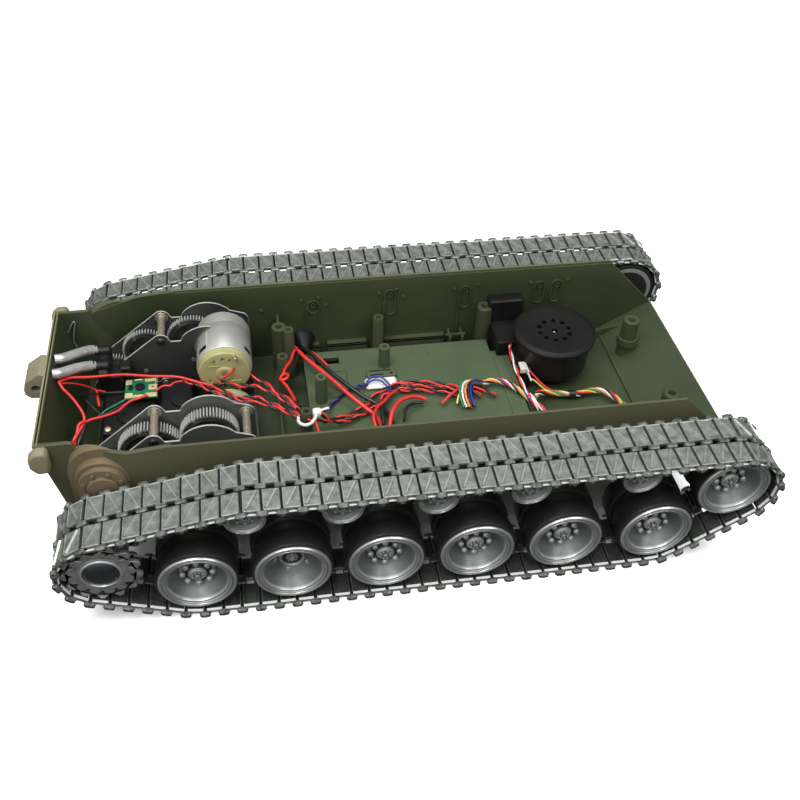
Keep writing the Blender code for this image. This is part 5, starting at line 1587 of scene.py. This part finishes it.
    # speaker lead with its small plug
    twisted("speaker_pair", ("wire_white", "red"), 0.62, 22, (200.3, 37, 47.5), (196.5, 36.5, 48),
            (194.3, 34, 48), (193, 28.5, 47), (192.7, 21, 46), (192.8, 13, 45.4), (193.3, 4, 44.6),
            (194.4, -3.5, 43.6), (196, -9, 42))
    plug = Shape().box((X1 + 195.2, 10.6, 43.6), (X1 + 198.8, 17.6, 47.2), 0.3)
    plug.box((X1 + 198.9, 8.6, 43.8), (X1 + 199.9, 19.6, 46.8), 0.2)
    plug.box((X1 + 199.0, 2.0, 44.2), (X1 + 199.8, 9.0, 45.6), 0.2)
    piece("speaker_plug", plug.mesh("plug", 30), "white", "chassis")
    wire("plug_lead_red", red, 0.6, (200, 14, 45), (203, 9, 43), (208, 4, 39), (214, 1, 36), (222, 0.5, 34.5))
    wire("plug_lead_yellow", "yellow", 0.5, (199.5, 5.5, 44), (203, 4.6, 42), (208, 2, 38),
         (214, -0.5, 35.4))
    front = [(200, -6.5, 40), (204, -1.8, 38), (209, 0.2, 36), (215, 0.4, 34.8), (222, -0.5, 34), (230, -0.8, 33.6),
             (238, 0.6, 33.8), (245, -0.8, 34), (250, -6, 34), (254, -13.5, 33.6), (256.5, -21, 33.2),
             (257, -30, 33)]
    twisted("front_loom", ("wire_white", "orange", "green", "yellow", "red", "wire_black"), 0.6, 24, *front)
    tape = tube(smooth_line([(X1 + 223.6, -0.6, 34.0), (X1 + 227.6, -0.9, 33.8)], FINE_STEP), 2.4, 20)
    piece("front_loom_tape", tape.mesh("tape", 40), "wire_black", "chassis")
    # battery plug behind the post, white label block and the tie
    plug = Shape().lathe([(0, 0), (2.2, 0.2), (3.0, 1.2), (6.6, 11.0), (7.4, 12.6), (7.2, 15.0), (0, 15.4)], 28)
    plug_mesh = plug.mesh("battery_plug", 35)
    piece("battery_plug", plug_mesh, "black", "chassis", (), (X1 + 68.0, 49.0, 42.0))
    block = Shape().box((X1 + 101.0, 10.6, 40.1), (X1 + 120.0, 19.4, 43.2), 1.2)
    piece("white_plug_block", block.mesh("block", 35), "white", "chassis")
    tie_points = [(58.6, -24.5, 58.5), (58.4, -28.5, 58), (61.2, -31.5, 58), (64.8, -30.8, 58.2),
                  (67.4, -27.8, 58.8), (68.6, -24.6, 59.6)]
    wire("tie_strap", "white", 0.95, *tie_points)
    tie = Shape().box((X1 + 66.4, -26.2, 57.4), (X1 + 71.2, -21.2, 61.2), 0.9)
    piece("tie_head", tie.mesh("tie_head", 40), "white", "chassis")
    wire("tie_tail", "white", 0.8, (70.5, -23.6, 60), (73.0, -23.0, 60.6), (75.6, -22.6, 60.8))


# ---- lights, floor and camera -----------------------------------------------------
SHADE_REACH = (("X", 0.168), ("Y", 0.102))     # metres from the middle to the shade's edge


def build_camera():
    """Camera from its azimuth, elevation and roll."""
    azimuth, elevation, roll = (math.radians(a) for a in (-11.06, 42.88, 2.54))
    back = Vector((math.sin(azimuth) * math.cos(elevation), -math.cos(azimuth) * math.cos(elevation),
                   math.sin(elevation)))
    across = Vector((0, 0, 1)).cross(back).normalized()
    up = back.cross(across)
    right = math.cos(roll) * across + math.sin(roll) * up
    top = math.cos(roll) * up - math.sin(roll) * across
    camera = bpy.data.objects.new("camera", bpy.data.cameras.new("camera"))
    camera.data.lens = 42.37
    camera.data.sensor_width = 36.0
    camera.data.clip_start = 0.01
    place = Vector((X1 + 41.7, -398.3, 417.5)) * MM
    camera.matrix_world = Matrix((
        (right.x, top.x, back.x, place.x),
        (right.y, top.y, back.y, place.y),
        (right.z, top.z, back.z, place.z),
        (0, 0, 0, 1),
    ))
    bpy.context.scene.collection.objects.link(camera)
    bpy.context.scene.camera = camera


def area_light(name, at, target, size, power):
    data = bpy.data.lights.new(name, "AREA")
    data.shape = "RECTANGLE"
    data.size, data.size_y = size
    data.energy = power
    light = bpy.data.objects.new(name, data)
    light.location = at
    light.rotation_euler = (Vector(target) - Vector(at)).to_track_quat("-Z", "Y").to_euler()
    bpy.context.scene.collection.objects.link(light)


def build_stage():
    """Pale floor, a sky that is brightest above and in front, and three soft lights."""
    floor = Shape().box((-3000, -3000, -20), (3000, 3000, -0.05))
    mat, nodes, links, shader = new_material("floor_white")
    tone = noise(nodes, links, 3.0, 2.0)
    links.new(ramp(nodes, links, tone, ((0.0, 0.86), (1.0, 0.90))), shader.inputs["Base Color"])
    shader.inputs["Roughness"].default_value = 0.9
    shader.inputs["Emission Color"].default_value = (1.0, 1.0, 1.0, 1.0)
    # glow that fades out under the hull, where the floor lies in shade
    place = place_on_object(nodes, links)
    shades = []
    for axis, reach in SHADE_REACH:
        away = math_node(nodes, links, "ABSOLUTE", place[axis])
        shades.append(math_node(nodes, links, "DIVIDE", away, reach))
    widest = math_node(nodes, links, "MAXIMUM", *shades)
    halved = math_node(nodes, links, "MULTIPLY", widest, 0.5)
    glow = ramp(nodes, links, halved, ((0.43, 0.0), (0.49, 0.30), (0.54, 0.72)))
    links.new(glow, shader.inputs["Emission Strength"])
    mesh = floor.mesh("floor")
    mesh.materials.append(mat)
    obj = bpy.data.objects.new("floor", mesh)
    bpy.context.scene.collection.objects.link(obj)
    obj.visible_glossy = False
    obj.visible_diffuse = False
    world = bpy.data.worlds.new("studio")
    bpy.context.scene.world = world
    world.use_nodes = True
    nodes, links = world.node_tree.nodes, world.node_tree.links
    # sky tone by direction: bright above and in front, dim behind and below
    split = nodes.new("ShaderNodeVectorMath")
    split.operation = "DOT_PRODUCT"
    split.inputs[1].default_value = (-0.30, -0.50, 0.81)
    links.new(nodes.new("ShaderNodeTexCoord").outputs["Generated"], split.inputs[0])
    sky = ramp(nodes, links, split.outputs["Value"], ((0.0, 0.10), (0.30, 0.22), (0.62, 0.75), (1.0, 1.0)))
    links.new(sky, nodes["Background"].inputs["Color"])
    nodes["Background"].inputs["Strength"].default_value = 0.85
    area_light("key", (-0.40, -0.38, 1.2), (0, 0, 0.03), (0.8, 0.6), 12)
    area_light("fill", (0.70, -0.45, 1.05), (0, 0, 0.03), (0.7, 0.6), 5)
    area_light("back", (0.15, 0.40, 1.3), (0, 0, 0.05), (0.9, 0.3), 4)
    bpy.context.scene.view_settings.view_transform = "Standard"


build_camera()
LOOKS = make_materials()
build_stage()
build_tracks()
build_wheels()
build_rollers()
build_sprockets()
build_arms()
build_hull()
build_deck()
build_gearboxes()
build_motors()
build_speaker()
build_smoke_unit()
build_board()
build_wires()
